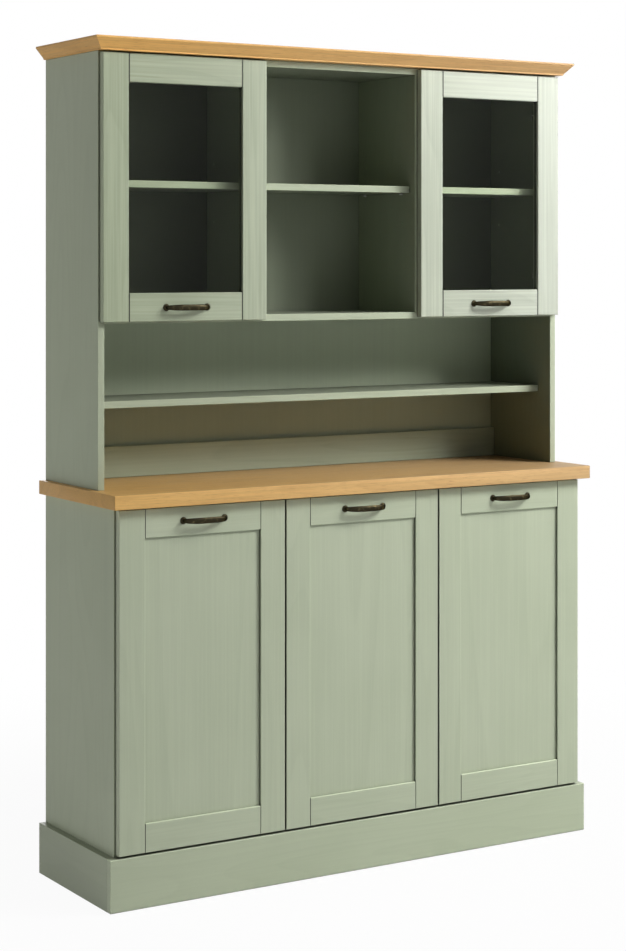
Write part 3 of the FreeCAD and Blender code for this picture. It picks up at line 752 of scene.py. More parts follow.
@dataclass(frozen=True)
class MetalFinish(Finish):
    """A metal surface with a worn tone on its edges and high spots."""

    dark: Colour
    bright: Colour
    rubbed_low: float
    rubbed_high: float
    gloss_low: float
    gloss_high: float
    streak: Point = (1.0, 1.0, 1.0)
    cells: float = 160.0
    edge_radius: float = 0.0009
    edge_share: float = 0.6
    relief: float = 0.00006
    rim: Colour = WHITE

    CLOUD_LAYERS = (4.0, 0.6)
    RELIEF_FINENESS = 4

    def lay(self, coat: Coat) -> None:
        """Lay the metal's dark and rubbed tones and its fine relief.

        Args:
            coat: The material under way.
        """
        turned = {"Vector": coat.place(), "Scale": self.streak}
        way = coat.node("ShaderNodeMapping", turned).outputs[0]
        cloud = coat.noise(way, self.cells, *self.CLOUD_LAYERS)
        edge = coat.mask(coat.effects.arris, {"Radius": self.edge_radius})
        worn = coat.most(
            coat.spread(cloud, self.rubbed_low, self.rubbed_high),
            coat.product(edge, self.edge_share))
        coat.dress({
            "Base Color": coat.mixed(worn, self.dark, self.bright),
            "Roughness": coat.spread(worn, 0.0, 1.0, self.gloss_high, self.gloss_low),
            "Metallic": 1.0,
            "Specular Tint": self.rim})
        coat.bump(coat.noise(way, self.cells * self.RELIEF_FINENESS), self.relief)


@dataclass(frozen=True)
class GlassFinish(Finish):
    """Clear float glass with faint smears; lamps reach what stands behind it."""

    tint: Colour
    ior: float = 1.15
    smear_gloss: float = 0.012
    clear: Colour = (0.98, 0.985, 0.98)

    SMEAR_CELLS = 9.0
    SMEAR_LAYERS = (5.0, 0.6)
    SMEAR_SHADE = 0.94
    SMEAR_BAND = (0.45, 0.8)

    def lay(self, coat: Coat) -> None:
        """Lay the glass, clear to the rays that light what stands behind it.

        Args:
            coat: The material under way.
        """
        smears = coat.noise(coat.place(), self.SMEAR_CELLS, *self.SMEAR_LAYERS)
        coat.dress({
            "Base Color": coat.mixed(smears, self.tint, shaded(self.tint, self.SMEAR_SHADE)),
            "Roughness": coat.spread(smears, *self.SMEAR_BAND, 0.0, self.smear_gloss),
            "Transmission Weight": 1.0,
            "IOR": self.ior})
        path = coat.node("ShaderNodeLightPath").outputs
        lit = coat.most(path["Is Shadow Ray"], path["Is Diffuse Ray"])
        clear = coat.node("ShaderNodeBsdfTransparent", {"Color": self.clear})
        coat.cover(lit, coat.shader.outputs[0], clear.outputs[0])


@dataclass(frozen=True)
class PlasticFinish(Finish):
    """Moulded plastic with a fine spark-eroded texture."""

    colour: Colour
    edge_radius: float = 0.0006
    edge_share: float = 0.5
    gloss_low: float = 0.42
    gloss_high: float = 0.6
    relief: float = 0.00005

    TEXTURE_CELLS = 2600.0
    TEXTURE_BAND = (0.3, 0.7)

    def lay(self, coat: Coat) -> None:
        """Lay the plastic with paler, scuffed edges.

        Args:
            coat: The material under way.
        """
        texture = coat.noise(coat.place(), self.TEXTURE_CELLS)
        edge = coat.mask(coat.effects.arris, {"Radius": self.edge_radius})
        scuffs = coat.product(edge, self.edge_share)
        coat.dress({
            "Base Color": coat.mixed(scuffs, self.colour, paler(self.colour, 2.2, 0.02)),
            "Roughness": coat.spread(
                texture, *self.TEXTURE_BAND, self.gloss_low, self.gloss_high)})
        coat.bump(texture, self.relief)


def shaded(colour: Colour, share: float) -> Colour:
    """A colour multiplied by one number."""
    return tuple(share * part for part in colour)


def paler(colour: Colour, share: float, lift: float) -> Colour:
    """A colour multiplied and lifted, no further than white."""
    return tuple(min(1.0, part * share + lift) for part in colour)


# Factor of the painted shade on the inner faces of the sides.
INNER_TONE = 0.54
SAGE = (0.478, 0.530, 0.388)
SAGE_DEEP = (0.450, 0.503, 0.363)
SAGE_LINE = (0.345, 0.391, 0.271)
OAK = (0.75, 0.472, 0.186)
OAK_DEEP = (0.725, 0.446, 0.172)
OAK_LINE = (0.44, 0.225, 0.082)
MAIN_CUT: Point = (0.0, 0.0, 0.0)
CROSS_CUT: Point = (0.13, 0.4, 0.0)
BASE_SEAMS = (0.581, 0.283, 0.149)
GLASS_SEAMS = (0.581, 0.285)
CALM_GRAIN = {"figure_share": 0.16, "fibre_contrast": 0.05}
# Dark joints with strong painted shade in crevices and recesses.
DARK_JOINTS = {"crevice_share": 0.95, "crevice_reach": 0.007}
FRONT_SHEEN = {"sheen_level": 0.45, "gloss_low": 0.4, "gloss_high": 0.52}
BASE_FRAME = {**FRONT_SHEEN, **CALM_GRAIN, **DARK_JOINTS, "wash_share": 0.06}
# The glazed frames are painted lighter and paler towards the right, as painted light and sheen,
# with faint painted highlights on their edges.
GLASS_FRAME = {
    **FRONT_SHEEN, **DARK_JOINTS, "wash_share": 0.2, "drift": 0.16, "strength": 0.9, "fade": 0.45,
    "figure_share": 0.4, "fibre_contrast": 0.14, "fibre_scale": 170.0, "edge_lift": 0.15}


def painted(
    name: str, grain: Grain, shift: Point, depth: float = 1.0, **changes: Value
) -> WoodFinish:
    """The cabinet's sage lacquer over softwood, for boards with one way of grain.

    Args:
        name: Name of the material.
        grain: The way the grain runs.
        shift: Where in the grain the boards are cut from.
        depth: Factor on the paint's colours.
        changes: Other numbers of the finish.

    Returns:
        The finish.
    """
    coats = [shaded(coat, depth) for coat in (SAGE, SAGE_DEEP, SAGE_LINE)]
    return WoodFinish(name, "green_paint", *coats, grain=grain, shift=shift, **changes)


def oiled(name: str, tint: Colour) -> WoodFinish:
    """The oak of the counter and the cornice under oil, with painted light and shade: highlights on
    its edges, shade on its top and end faces, light that is stronger towards the left and a sheen
    that pales it towards the right.

    Args:
        name: Name of the material.
        tint: Factors of the oil's tint on the wood's colours.

    Returns:
        The finish.
    """
    coats = [
        tuple(share * part for share, part in zip(tint, coat))
        for coat in (OAK, OAK_DEEP, OAK_LINE)]
    return WoodFinish(
        name, "oak", *coats, grain=None, figure_scale=5.0, rings=18.0, fibre_scale=260.0,
        pore_scale=900.0, figure_share=0.22, fibre_contrast=0.24, pore_share=0.6, edge_lift=0.2,
        ledge_lift=-0.22, sheen_level=0.15, gloss_low=0.38, gloss_high=0.52, relief=0.00012,
        drift=-0.35, strength=0.98, fade=0.1, end_lift=-0.28)


class Palette:
    """Every material of the cabinet, built once and looked up by name."""

    FINISHES: tuple[Finish, ...] = (
        painted("sage_side", Grain.UP, MAIN_CUT, **CALM_GRAIN, inner_tone=INNER_TONE,
                crevice_share=0.4),
        painted("sage_divider", Grain.UP, (0.2, 0.1, 0.3), **CALM_GRAIN, inner_tone=0.82,
                both_inner=True),
        painted("sage_shelf", Grain.ACROSS, CROSS_CUT, inner_tone=0.56, both_inner=True),
        # The plinth: strong painted highlights on its edges, and the full painted shade of crevices
        # on its top face under the doors.
        painted("sage_plinth", Grain.ACROSS, CROSS_CUT, 1.03, **CALM_GRAIN, **DARK_JOINTS,
                edge_lift=0.95, ledge_spared=0.0),
        # Painted light on faces that look up.
        painted("sage_across", Grain.ACROSS, CROSS_CUT, 1.03, **CALM_GRAIN, **DARK_JOINTS,
                ledge_lift=0.45),
        painted("sage_stile", Grain.UP, MAIN_CUT, **BASE_FRAME),
        # Painted light on faces that look up.
        painted("sage_rail", Grain.ACROSS, CROSS_CUT, **BASE_FRAME, ledge_lift=0.45,
                seams=BASE_SEAMS, seam_half=0.0013),
        painted("sage_panel", Grain.UP, (0.31, 0.0, 0.7), **FRONT_SHEEN, wash_share=0.06,
                figure_scale=3.6, rings=13.0, figure_share=0.2, fibre_contrast=0.045,
                crevice_share=0.4, crevice_reach=0.002),
        painted("washed_stile", Grain.UP, (0.07, 0.0, 0.2), 0.93, **GLASS_FRAME),
        painted("washed_rail", Grain.ACROSS, (0.2, 0.1, 0.0), 0.93, **GLASS_FRAME,
                seams=GLASS_SEAMS, seam_half=0.0026),
        # The niche's back rail: a darker sage as painted shade, darker still towards the right.
        painted("sage_niche_rail", Grain.ACROSS, (0.4, 0.2, 0.0), 0.93, drift=-0.25),
        painted("sage_deep", Grain.DEEP, (0.0, 0.23, 0.6), 0.87, **CALM_GRAIN),
        oiled("oiled_oak", WHITE),
        oiled("warm_oak", (1.06, 1.0, 0.92)),
        WoodFinish(
            "bare_beech", "beech", (0.70, 0.50, 0.30), (0.62, 0.42, 0.24), (0.45, 0.27, 0.14),
            grain=Grain.ACROSS, fibre_scale=500.0, pore_share=0.3, gloss_low=0.55,
            gloss_high=0.7),
        # The back boards' paint is a darker sage, painted shade of the cabinet's inside.
        BackBoardFinish(
            "back_board", "back_board", (0.345, 0.385, 0.285), (0.36, 0.24, 0.14), 0.1805),
        GlassFinish("pane_glass", "glass", (0.91, 0.94, 0.87)),
        MetalFinish(
            "aged_bronze", "antique_brass", (0.028, 0.024, 0.014), (0.17, 0.14, 0.07),
            0.5, 0.86, 0.26, 0.36, cells=90.0, edge_share=0.25, rim=(0.24, 0.22, 0.15)),
        MetalFinish(
            "nickel_steel", "steel", (0.50, 0.50, 0.48), (0.72, 0.71, 0.68),
            0.3, 0.7, 0.2, 0.34, streak=(1.0, 1.0, 0.08), cells=700.0),
        PlasticFinish("black_glide", "glide_plastic", (0.018, 0.018, 0.018)),
    )

    def __init__(self, effects: Effects) -> None:
        """Build every material with the shared shader groups."""
        self._materials = {finish.name: finish.build(effects) for finish in self.FINISHES}
        self._slots = {finish.name: finish.slot for finish in self.FINISHES}

    def __getitem__(self, name: str) -> Material:
        """The material of that name."""
        return self._materials[name]

    def slot(self, name: str) -> str:
        """The record's material slot of that finish."""
        return self._slots[name]


def added(name: str, data: bpy.types.ID) -> Piece:
    """Put a new object in the scene.

    Args:
        name: Name of the object.
        data: Its mesh, lamp or camera.

    Returns:
        The object.
    """
    thing = bpy.data.objects.new(name, data)
    bpy.context.scene.collection.objects.link(thing)
    return thing


class Workshop:
    """Makes finished pieces of the cabinet and puts them on their bodies."""

    def __init__(self, frame: Mapping[str, Value]) -> None:
        """Build the materials and the geometry tree that repeats small parts.

        Args:
            frame: What import_model returned.
        """
        self.nodes = frame["nodes"]
        self.palette = Palette(Effects())
        self.repeat_tree = self._repeat_tree()

    @staticmethod
    def _repeat_tree() -> Tree:
        """A geometry tree that sets one small part on every point of the mesh that it is given.

        Returns:
            The tree.
        """
        takes = {
            "Points": Plug.GEOMETRY, "Part": Plug.OBJECT, "Turn": Plug.VECTOR,
            "Finish": Plug.MATERIAL}
        graph, takes, gives = new_tree(
            "repeat_part", GEOMETRY_TREE, {label: (plug, None) for label, plug in takes.items()},
            {"Geometry": Plug.GEOMETRY})
        part = graph.node("GeometryNodeObjectInfo", {"Object": takes["Part"]})
        turn = graph.node("FunctionNodeEulerToRotation", {0: takes["Turn"]})
        instances = graph.node("GeometryNodeInstanceOnPoints", {
            "Points": takes["Points"], "Instance": part.outputs["Geometry"],
            "Rotation": turn.outputs[0]})
        close_tree(graph, takes, gives, instances.outputs["Instances"])
        return graph.tree

    def new_piece(self, name: str, mesh: Mesh, body: str, finish: str) -> Piece:
        """Put a mesh in the scene as a piece that rides on a body.

        Args:
            name: Name of the piece.
            mesh: Its mesh, with the place in it.
            body: The body that it rides on.
            finish: Name of its material.

        Returns:
            The piece.
        """
        mesh.name = name
        piece = added(name, mesh)
        if not mesh.materials:
            mesh.materials.append(self.palette[finish])
        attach(piece, body)
        self.palette.slot(finish)
        LOG.info("%s on %s: %d faces", name, body, len(mesh.polygons))
        return piece

    @staticmethod
    def grown(source: Mesh, tree: Tree, inputs: Mapping[str, Value]) -> Mesh:
        """Run a geometry tree on a mesh and take the result as a plain mesh.

        Args:
            source: The mesh that the tree is given.
            tree: The geometry tree.
            inputs: Values of its named inputs.

        Returns:
            The new mesh.
        """
        carrier = added("carrier", source)
        modifier = carrier.modifiers.new("shape", "NODES")
        modifier.node_group = tree
        for item in tree.interface.items_tree:
            if item.in_out == "INPUT" and item.name in inputs:
                modifier[item.identifier] = inputs[item.name]
        graph = bpy.context.evaluated_depsgraph_get()
        mesh = bpy.data.meshes.new_from_object(carrier.evaluated_get(graph), depsgraph=graph)
        carrier.modifiers.remove(modifier)
        bpy.data.objects.remove(carrier)
        return mesh

    def repeated(
        self, name: str, part: Mesh, places: Sequence[Vector], facing: Facing, body: str,
        finish: str,
    ) -> Piece:
        """Set one small part at several places, as one piece.

        Args:
            name: Name of the piece.
            part: The part's mesh, its own +Z the way that it faces.
            places: Where the parts stand.
            facing: The way that they face.
            body: The body that they ride on.
            finish: Name of their material.

        Returns:
            The piece.
        """
        pattern = added("pattern", part)
        points = bpy.data.meshes.new("points")
        points.from_pydata([tuple(place) for place in places], [], [])
        mesh = self.grown(points, self.repeat_tree, {
            "Part": pattern, "Turn": facing.value, "Finish": self.palette[finish]})
        bpy.data.objects.remove(pattern)
        return self.new_piece(name, mesh, body, finish)

    def dress(self, finish: str, names: Iterable[str]) -> None:
        """Give CAD nodes a finish.

        Args:
            finish: Name of the material.
            names: Names of the nodes.
        """
        for name in names:
            for slot in self.nodes[name].material_slots:
                slot.material = self.palette[finish]
            LOG.info("%s: %s", name, finish)


class Form:
    """A solid under way, in mesh code."""

    def __init__(self) -> None:
        """Start with nothing."""
        self.shape = bmesh.new()

    def turn(self, profile: Profile, sides: int = 32) -> None:
        """Add a turned solid about Z.

        Args:
            profile: Radius and height of each corner, from axis to axis.
            sides: Faces round the axis.
        """
        rings = []
        for radius, height in profile:
            steps = range(sides if radius else 1)
            turns = [2 * math.pi * step / sides for step in steps]
            rings.append([
                self.shape.verts.new((radius * math.cos(turn), radius * math.sin(turn), height))
                for turn in turns])
        for low, high in zip(rings, rings[1:]):
            for side in range(sides):
                after = (side + 1) % sides
                corners = dict.fromkeys((
                    low[side % len(low)], low[after % len(low)],
                    high[after % len(high)], high[side % len(high)]))
                if len(corners) > 2:
                    self.shape.faces.new(list(corners))

    def block(self, low: Point, high: Point, rounding: float, steps: int = 2) -> list[Vertex]:
        """Add a block with rounded edges.

        Args:
            low: Its lowest corner.
            high: Its highest corner.
            rounding: Radius of its edges.
            steps: Faces across each rounding.

        Returns:
            The block's vertices.
        """
        centre = (Vector(low) + Vector(high)) / 2
        size = Vector(high) - Vector(low)
        matrix = Matrix.Translation(centre) @ Matrix.Diagonal((*size, 1.0))
        before = set(self.shape.verts)
        made = bmesh.ops.create_cube(self.shape, size=1.0, matrix=matrix)["verts"]
        edges = list(dict.fromkeys(edge for vert in made for edge in vert.link_edges))
        bmesh.ops.bevel(
            self.shape, geom=edges, offset=rounding, segments=steps, profile=0.5,
            affect="EDGES", clamp_overlap=True)
        return [vert for vert in self.shape.verts if vert not in before]

    def cross_recess(self, top: float, span: float, width: float) -> None:
        """Add a cross recess, as two crossed bars that stand hardly proud of a screw's head.

        Args:
            top: Height of the head's face.
            span: Length of the recess from end to end.
            width: Width of each arm.
        """
        low = (-span / 2, -width / 2, top - width / 2)
        high = (span / 2, width / 2, top + RECESS_PROUD)
        for turn in (0.0, math.pi / 2):
            for vert in self.block(low, high, width / 8, 1):
                vert.co.rotate(Euler((0.0, 0.0, turn)))

    def run(self, starts: Sequence[Vector], ends: Sequence[Vector]) -> None:
        """Add a board between its two end sections.

        Args:
            starts: Corners of one end.
            ends: Corners of the other end.
        """
        first, last = ([self.shape.verts.new(point) for point in row] for row in (starts, ends))
        for corner in range(len(first)):
            after = (corner + 1) % len(first)
            self.shape.faces.new((first[corner], first[after], last[after], last[corner]))
        self.shape.faces.new(first)
        self.shape.faces.new(list(reversed(last)))

    def take(self, other: "Form", place: Point) -> None:
        """Add another form at a place.

        Args:
            other: The other form, which is used up.
            place: Where its own origin comes.
        """
        bmesh.ops.translate(other.shape, verts=other.shape.verts, vec=place)
        carrier = bpy.data.meshes.new("carrier")
        other.shape.to_mesh(carrier)
        other.shape.free()
        self.shape.from_mesh(carrier)
        bpy.data.meshes.remove(carrier)
        self._sort()

    def _sort(self) -> None:
        """Put edges and faces in the order of their corners, which is the same on every run."""
        self.shape.verts.index_update()
        for rows in (self.shape.edges, self.shape.faces):
            ranked = sorted(rows, key=lambda row: sorted(vert.index for vert in row.verts))
            for rank, row in enumerate(ranked):
                row.index = rank
            rows.sort()

    def mesh(self, name: str, smooth_below: float = 35.0) -> Mesh:
        """Use the form up as a mesh: doubles merged, faces outwards, soft over shallow edges.

        Args:
            name: Name of the mesh.
            smooth_below: Edges turning less than this many degrees are shaded smooth.

        Returns:
            The mesh.
        """
        bmesh.ops.remove_doubles(self.shape, verts=self.shape.verts, dist=WELD)
        bmesh.ops.recalc_face_normals(self.shape, faces=self.shape.faces)
        limit = math.radians(smooth_below)
        for face in self.shape.faces:
            face.smooth = True
        for edge in self.shape.edges:
            edge.smooth = len(edge.link_faces) == 2 and edge.calc_face_angle(math.pi) < limit
        mesh = bpy.data.meshes.new(name)
        self.shape.to_mesh(mesh)
        self.shape.free()
        return mesh


def turned(name: str, profile: Profile, sides: int) -> Mesh:
    """A turned solid as a mesh of its own.

    Args:
        name: Name of the mesh.
        profile: Radius and height of each corner, from axis to axis.
        sides: Faces round the axis.

    Returns:
        The mesh.
    """
    form = Form()
    form.turn(profile, sides)
    return form.mesh(name)


def write_grain(mesh: Mesh, place: Callable[[Vector], Point]) -> None:
    """Store on every point where it lies in its board's grain: across, through and along.

    Args:
        mesh: The mesh to write on.
        place: The place in the grain of a point of the mesh.
    """
    layer = mesh.attributes.new(GRAIN_PLACE, "FLOAT_VECTOR", "POINT")
    for vertex, item in zip(mesh.vertices, layer.data):
        item.vector = place(vertex.co)


def joined_meshes(name: str, meshes: Sequence[Mesh]) -> Mesh:
    """Join meshes that have the same attributes into one.

    Args:
        name: Name of the new mesh.
        meshes: The meshes, which are used up.

    Returns:
        The joined mesh.
    """
    shape = bmesh.new()
    for mesh in meshes:
        shape.from_mesh(mesh)
        bpy.data.meshes.remove(mesh)
    result = bpy.data.meshes.new(name)
    shape.to_mesh(result)
    shape.free()
    return result


@dataclass
class Box:
    """The extent of a CAD node at rest."""

    low: Vector
    high: Vector

    @classmethod
    def of(cls, node: str) -> "Box":
        """The box of a node by name."""
        return cls(*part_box(node))

    @property
    def middle(self) -> Vector:
        """The centre of the box."""
        return (self.low + self.high) / 2


@dataclass
class Part:
    """A sub-assembly that the workshop makes."""

    shop: Workshop


@dataclass
class BowHandle(Part):
    """A bow handle on two turned feet, screwed to one door."""

    door: str
    tree: Tree
    half_span: float = 0.053
    lift: float = 0.02425
    squareness: float = 2.6
    end_height: float = 0.0078
    middle_height: float = 0.0142
    end_thickness: float = 0.006
    middle_thickness: float = 0.0055
    foot_radius: float = 0.008
    foot_sides: int = 32

    FOOT_PROFILE = (
        (0.0, 0.0), (0.93, 0.0), (1.0, 0.00035), (1.0, 0.0011), (0.95, 0.0015), (0.84, 0.0016),
        (0.80, 0.0018), (0.80, 0.0022), (0.76, 0.0026), (0.66, 0.0029), (0.5, 0.003), (0.0, 0.003),
    )

    def build(self) -> None:
        """Make the bow and its feet in place of the door's CAD handle."""
        node = f"{self.door}_handle"
        box = Box.of(node)
        place = Vector((box.middle.x, box.high.y, box.middle.z))
        mesh = self.shop.grown(bpy.data.meshes.new("seed"), self.tree, {
            "Place": place,
            "Half Span": self.half_span,
            "Lift": self.lift,
            "Power": 2 / self.squareness,
            "End Size": (self.end_thickness, self.end_height, 0.0),
            "Middle Size": (self.middle_thickness, self.middle_height, 0.0),
            "Finish": self.shop.palette["aged_bronze"],
        })
        bow = self.shop.new_piece(f"{node}_bow", mesh, self.door, "aged_bronze")
        profile = [(radius * self.foot_radius, height) for radius, height in self.FOOT_PROFILE]
        ends = [place + Vector((side * self.half_span, 0.0, 0.0)) for side in BOTH_SIDES]
        feet = self.shop.repeated(
            f"{node}_feet", turned("foot", profile, self.foot_sides), ends, Facing.FRONT,
            self.door, "aged_bronze")
        for piece in (bow, feet):
            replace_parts(piece, node)


class BowGraph(Graph):
    """The working of the bow's geometry tree: an oval swept along a squared arch."""

    RINGS = 49
    SIDES = 28
    STEP = 0.004
    END = 0.4999
    BOW_WELD = 0.00001

    @classmethod
    def built(cls) -> Tree:
        """Build the tree.

        Returns:
            The tree, which takes the bow's place, sizes and finish.
        """
        numbers = {"Half Span": 0.05, "Lift": 0.025, "Power": 0.8}
        vectors = ("Place", "End Size", "Middle Size")
        start, takes, gives = new_tree(
            "handle_bow", GEOMETRY_TREE,
            {"Geometry": (Plug.GEOMETRY, None), "Finish": (Plug.MATERIAL, None)}
            | {label: (Plug.NUMBER, value) for label, value in numbers.items()}
            | {label: (Plug.VECTOR, None) for label in vectors},
            {"Geometry": Plug.GEOMETRY})
        graph = cls(start.tree)
        sheet = graph.node("GeometryNodeMeshGrid", {
            "Size X": 1.0, "Size Y": 1.0, "Vertices X": cls.RINGS, "Vertices Y": cls.SIDES + 1})
        along, around, _ = graph.parts(graph.node("GeometryNodeInputPosition").outputs[0])
        wave = graph.calc("COSINE", graph.product(graph.total(along, 0.5), math.pi))
        turn = graph.product(graph.calc("MULTIPLY_ADD", wave, -0.5, 0.5), math.pi)
        outline = graph.oval(takes, turn, along, graph.product(around, 2 * math.pi))
        point = graph.vector(
            "ADD", graph.vector("ADD", graph.middle(takes, turn), outline), takes["Place"])
        moved = graph.node(
            "GeometryNodeSetPosition", {"Geometry": sheet.outputs["Mesh"], "Position": point})
        welded = graph.node(
            "GeometryNodeMergeByDistance",
            {"Geometry": moved.outputs[0], "Distance": cls.BOW_WELD})
        smooth = graph.node("GeometryNodeSetShadeSmooth", {0: welded.outputs[0]})
        close_tree(graph, takes, gives, smooth.outputs[0])
        return graph.tree

    def powered(self, wave: str, turn: Socket, power: Socket) -> Socket:
        """A sine or cosine raised to the arch's power, with its sign kept.

        Args:
            wave: Blender's name of the wave.
            turn: The angle.
            power: The power.

        Returns:
            The value.
        """
        value = self.calc(wave, turn)
        size = self.calc("POWER", self.calc("ABSOLUTE", value), power)
        return self.product(self.calc("SIGN", value), size)

    def middle(self, takes: Mapping[str, Socket], turn: Socket) -> Socket:
        """The point of the arch's middle line at one turn.

        Args:
            takes: The tree's inputs.
            turn: The angle along the arch, half a turn in all.

        Returns:
            The point.
        """
        reaches = (
            self.product(self.powered(wave, turn, takes["Power"]), takes[size], -1.0)
            for wave, size in (("COSINE", "Half Span"), ("SINE", "Lift")))
        return self.joined(*reaches, 0.0)

    def oval(
        self, takes: Mapping[str, Socket], turn: Socket, along: Socket, angle: Socket
    ) -> Socket:
        """The way from the arch's middle line to the oval round it, nothing at the closed ends.

        Args:
            takes: The tree's inputs.
            turn: The angle along the arch.
            along: The place along the sheet, from -0.5 to 0.5.
            angle: The angle round the oval.

        Returns:
            The vector.
        """
        ahead = self.middle(takes, self.calc("ADD", turn, self.STEP))
        behind = self.middle(takes, self.calc("SUBTRACT", turn, self.STEP))
        heading = self.vector("NORMALIZE", self.vector("SUBTRACT", ahead, behind))
        across = self.vector("CROSS_PRODUCT", heading, (0.0, 0.0, 1.0))
        gap = self.vector("SUBTRACT", takes["Middle Size"], takes["End Size"])
        swell = self.scaled(gap, self.powered("SINE", turn, takes["Power"]))
        thickness, height, _ = self.parts(self.vector("ADD", takes["End Size"], swell))
        opened = self.calc("LESS_THAN", self.calc("ABSOLUTE", along), self.END)
        outward, upward = (
            self.product(self.calc(wave, angle), self.product(size, 0.5), opened)
            for wave, size in (("COSINE", thickness), ("SINE", height)))
        return self.vector("ADD", self.scaled(across, outward), self.joined(0.0, 0.0, upward))


@dataclass
class Hinge(Part):
    """The two concealed hinges of one door: cups in the door, arms on the carcass."""

    door: str
    hung: Hung
    upright: str
    inset: float = 0.1
    standoff: float = 0.002
    cup_centre: float = 0.0225
    cup_radius: float = 0.0174
    cup_inner: float = 0.0155
    cup_depth: float = 0.011
    cup_floor: float = 0.002
    cup_bend: float = 0.0015
    cup_lip: float = 0.0013
    cup_sides: int = 48
    flange_half: float = 0.011
    flange_near: float = 0.0145
    flange_far: float = 0.03
    flange_thickness: float = 0.0014
    flange_rounding: float = 0.0005
    lug_place: float = 0.0235
    arm_start: float = 0.003
    arm_length: float = 0.062
    arm_inset: float = 0.001
    plate_length: float = 0.036
    wing_half: float = 0.024
    wing_top: float = 0.0025
    seat_inset: float = 0.002
    seat_half: float = 0.009
    seat_top: float = 0.0045
    arm_half: float = 0.0078
    arm_top: float = 0.0138
    knee_half: float = 0.0072
    knee_length: float = 0.008
    link_root: float = 0.008
    link_clearance: float = 0.0003
    link_rounding: float = 0.0007
    link_near: float = 0.002
    link_far: float = 0.0058
    link_below: float = 0.0018
    link_above: float = 0.0028
    screw_aside: float = 0.0165
    arm_screw_inset: float = 0.012
    plate_screw_seat: float = 0.002
    arm_screw_seat: float = 0.0135
    small_sides: int = 20

    LUG_PROFILE = (
        (0.0, 0.001), (0.0036, 0.001), (0.0036, 0.0018), (0.0028, 0.0024), (0.0, 0.0026))
    HEAD_PROFILE = (
        (0.0, 0.0), (0.0038, 0.0), (0.0038, 0.0007), (0.003, 0.0014), (0.0, 0.0016))
    HEAD_RECESS = (0.0042, 0.0009)

    def places(self) -> tuple[Box, list[float], float]:
        """Where the door is.

        Returns:
            The box of its stiles, the heights of its two hinges and the X of its cups.
        """
        box = Box.of(f"{self.door}_stiles")
        edge = box.high.x if self.hung is Hung.RIGHT else box.low.x
        heights = [box.low.z + self.inset, box.high.z - self.inset]
        return box, heights, edge - self.hung.value * self.cup_centre

    def build_cups(self) -> Piece:
        """Make the cups with their flanges and screws, as one piece on the door.

        Returns:
            The piece.
        """
        box, heights, cup_x = self.places()
        rim, inner, lip, bend = self.cup_radius, self.cup_inner, self.cup_lip, self.cup_bend
        deep = -self.cup_depth
        floor = deep + self.cup_floor
        form = Form()
        form.turn((
            (0.0, deep), (rim - bend, deep), (rim, deep + bend), (rim, 0.0), (rim, lip - 0.0004),
            (rim - 0.0005, lip), (inner + 0.0003, lip), (inner, lip - 0.0003),
            (inner, floor + bend), (inner - bend, floor), (0.0, floor),
        ), self.cup_sides)
        for side in BOTH_SIDES:
            near, far = sorted((side * self.flange_near, side * self.flange_far))
            form.block(
                (-self.flange_half, near, 0.0), (self.flange_half, far, self.flange_thickness),
                self.flange_rounding)
            lug = Form()
            lug.turn(self.LUG_PROFILE, self.small_sides)
            form.take(lug, (0.0, side * self.lug_place, 0.0))
        places = [Vector((cup_x, box.high.y, height)) for height in heights]
        return self.shop.repeated(
            f"{self.door}_hinge_cups", form.mesh("hinge_cup"), places, Facing.REAR, self.door,
            "nickel_steel")

    def build_arms(self) -> Piece:
        """Make the arms on their plates, with the links that reach into each cup.

        Returns:
            The piece, which rides on the carcass.
        """
        box, heights, cup_x = self.places()
        wall = Box.of(self.upright)
        face = wall.low.x if self.hung is Hung.RIGHT else wall.high.x
        tip = self.standoff + self.arm_start
        rear = tip + self.arm_length
        front = rear - self.plate_length
        reach = abs(cup_x - face)
        top = reach + self.link_above
        knee = tip + self.arm_inset
        form = Form()
        for start, end, half, low, high, rounding, steps in (
            (front, rear, self.wing_half, 0.0, self.wing_top, 0.0008, 2),
            (front + self.seat_inset, rear - self.seat_inset, self.seat_half, 0.0,
             self.seat_top, 0.0008, 2),
            (tip, rear - self.arm_inset, self.arm_half, self.seat_top, self.arm_top, 0.0018, 3),
            (knee, knee + self.knee_length, self.knee_half, self.seat_top + self.arm_inset, top,
             0.001, 2),
        ):
            form.block((start, -half, low), (end, half, high), rounding, steps)
        link_front = self.standoff + self.link_clearance + self.cup_floor - self.cup_depth
        for side in BOTH_SIDES:
            near, far = sorted((side * self.link_near, side * self.link_far))
            form.block(
                (link_front, near, reach - self.link_below), (tip + self.link_root, far, top),
                self.link_rounding)
        middle, aside = rear - self.plate_length / 2, self.screw_aside
        on_plate, on_arm = self.plate_screw_seat, self.arm_screw_seat
        for along, across, seat in (
            (middle, aside, on_plate), (middle, -aside, on_plate),
            (rear - self.arm_screw_inset, 0.0, on_arm), (front, 0.0, on_arm),
        ):
            head = Form()
            head.turn(self.HEAD_PROFILE, self.small_sides)
            head.cross_recess(self.HEAD_PROFILE[-1][1], *self.HEAD_RECESS)
            form.take(head, (along, across, seat))
        turn = Matrix((
            (0.0, 0.0, -self.hung.value, 0.0), (1.0, 0.0, 0.0, 0.0), (0.0, 1.0, 0.0, 0.0),
            (0.0, 0.0, 0.0, 1.0)))
        bmesh.ops.transform(form.shape, matrix=turn, verts=form.shape.verts)
        places = [Vector((face, box.high.y, height)) for height in heights]
        return self.shop.repeated(
            f"{self.door}_hinge_arms", form.mesh("hinge_arm"), places, Facing.UP, "root",
            "nickel_steel")


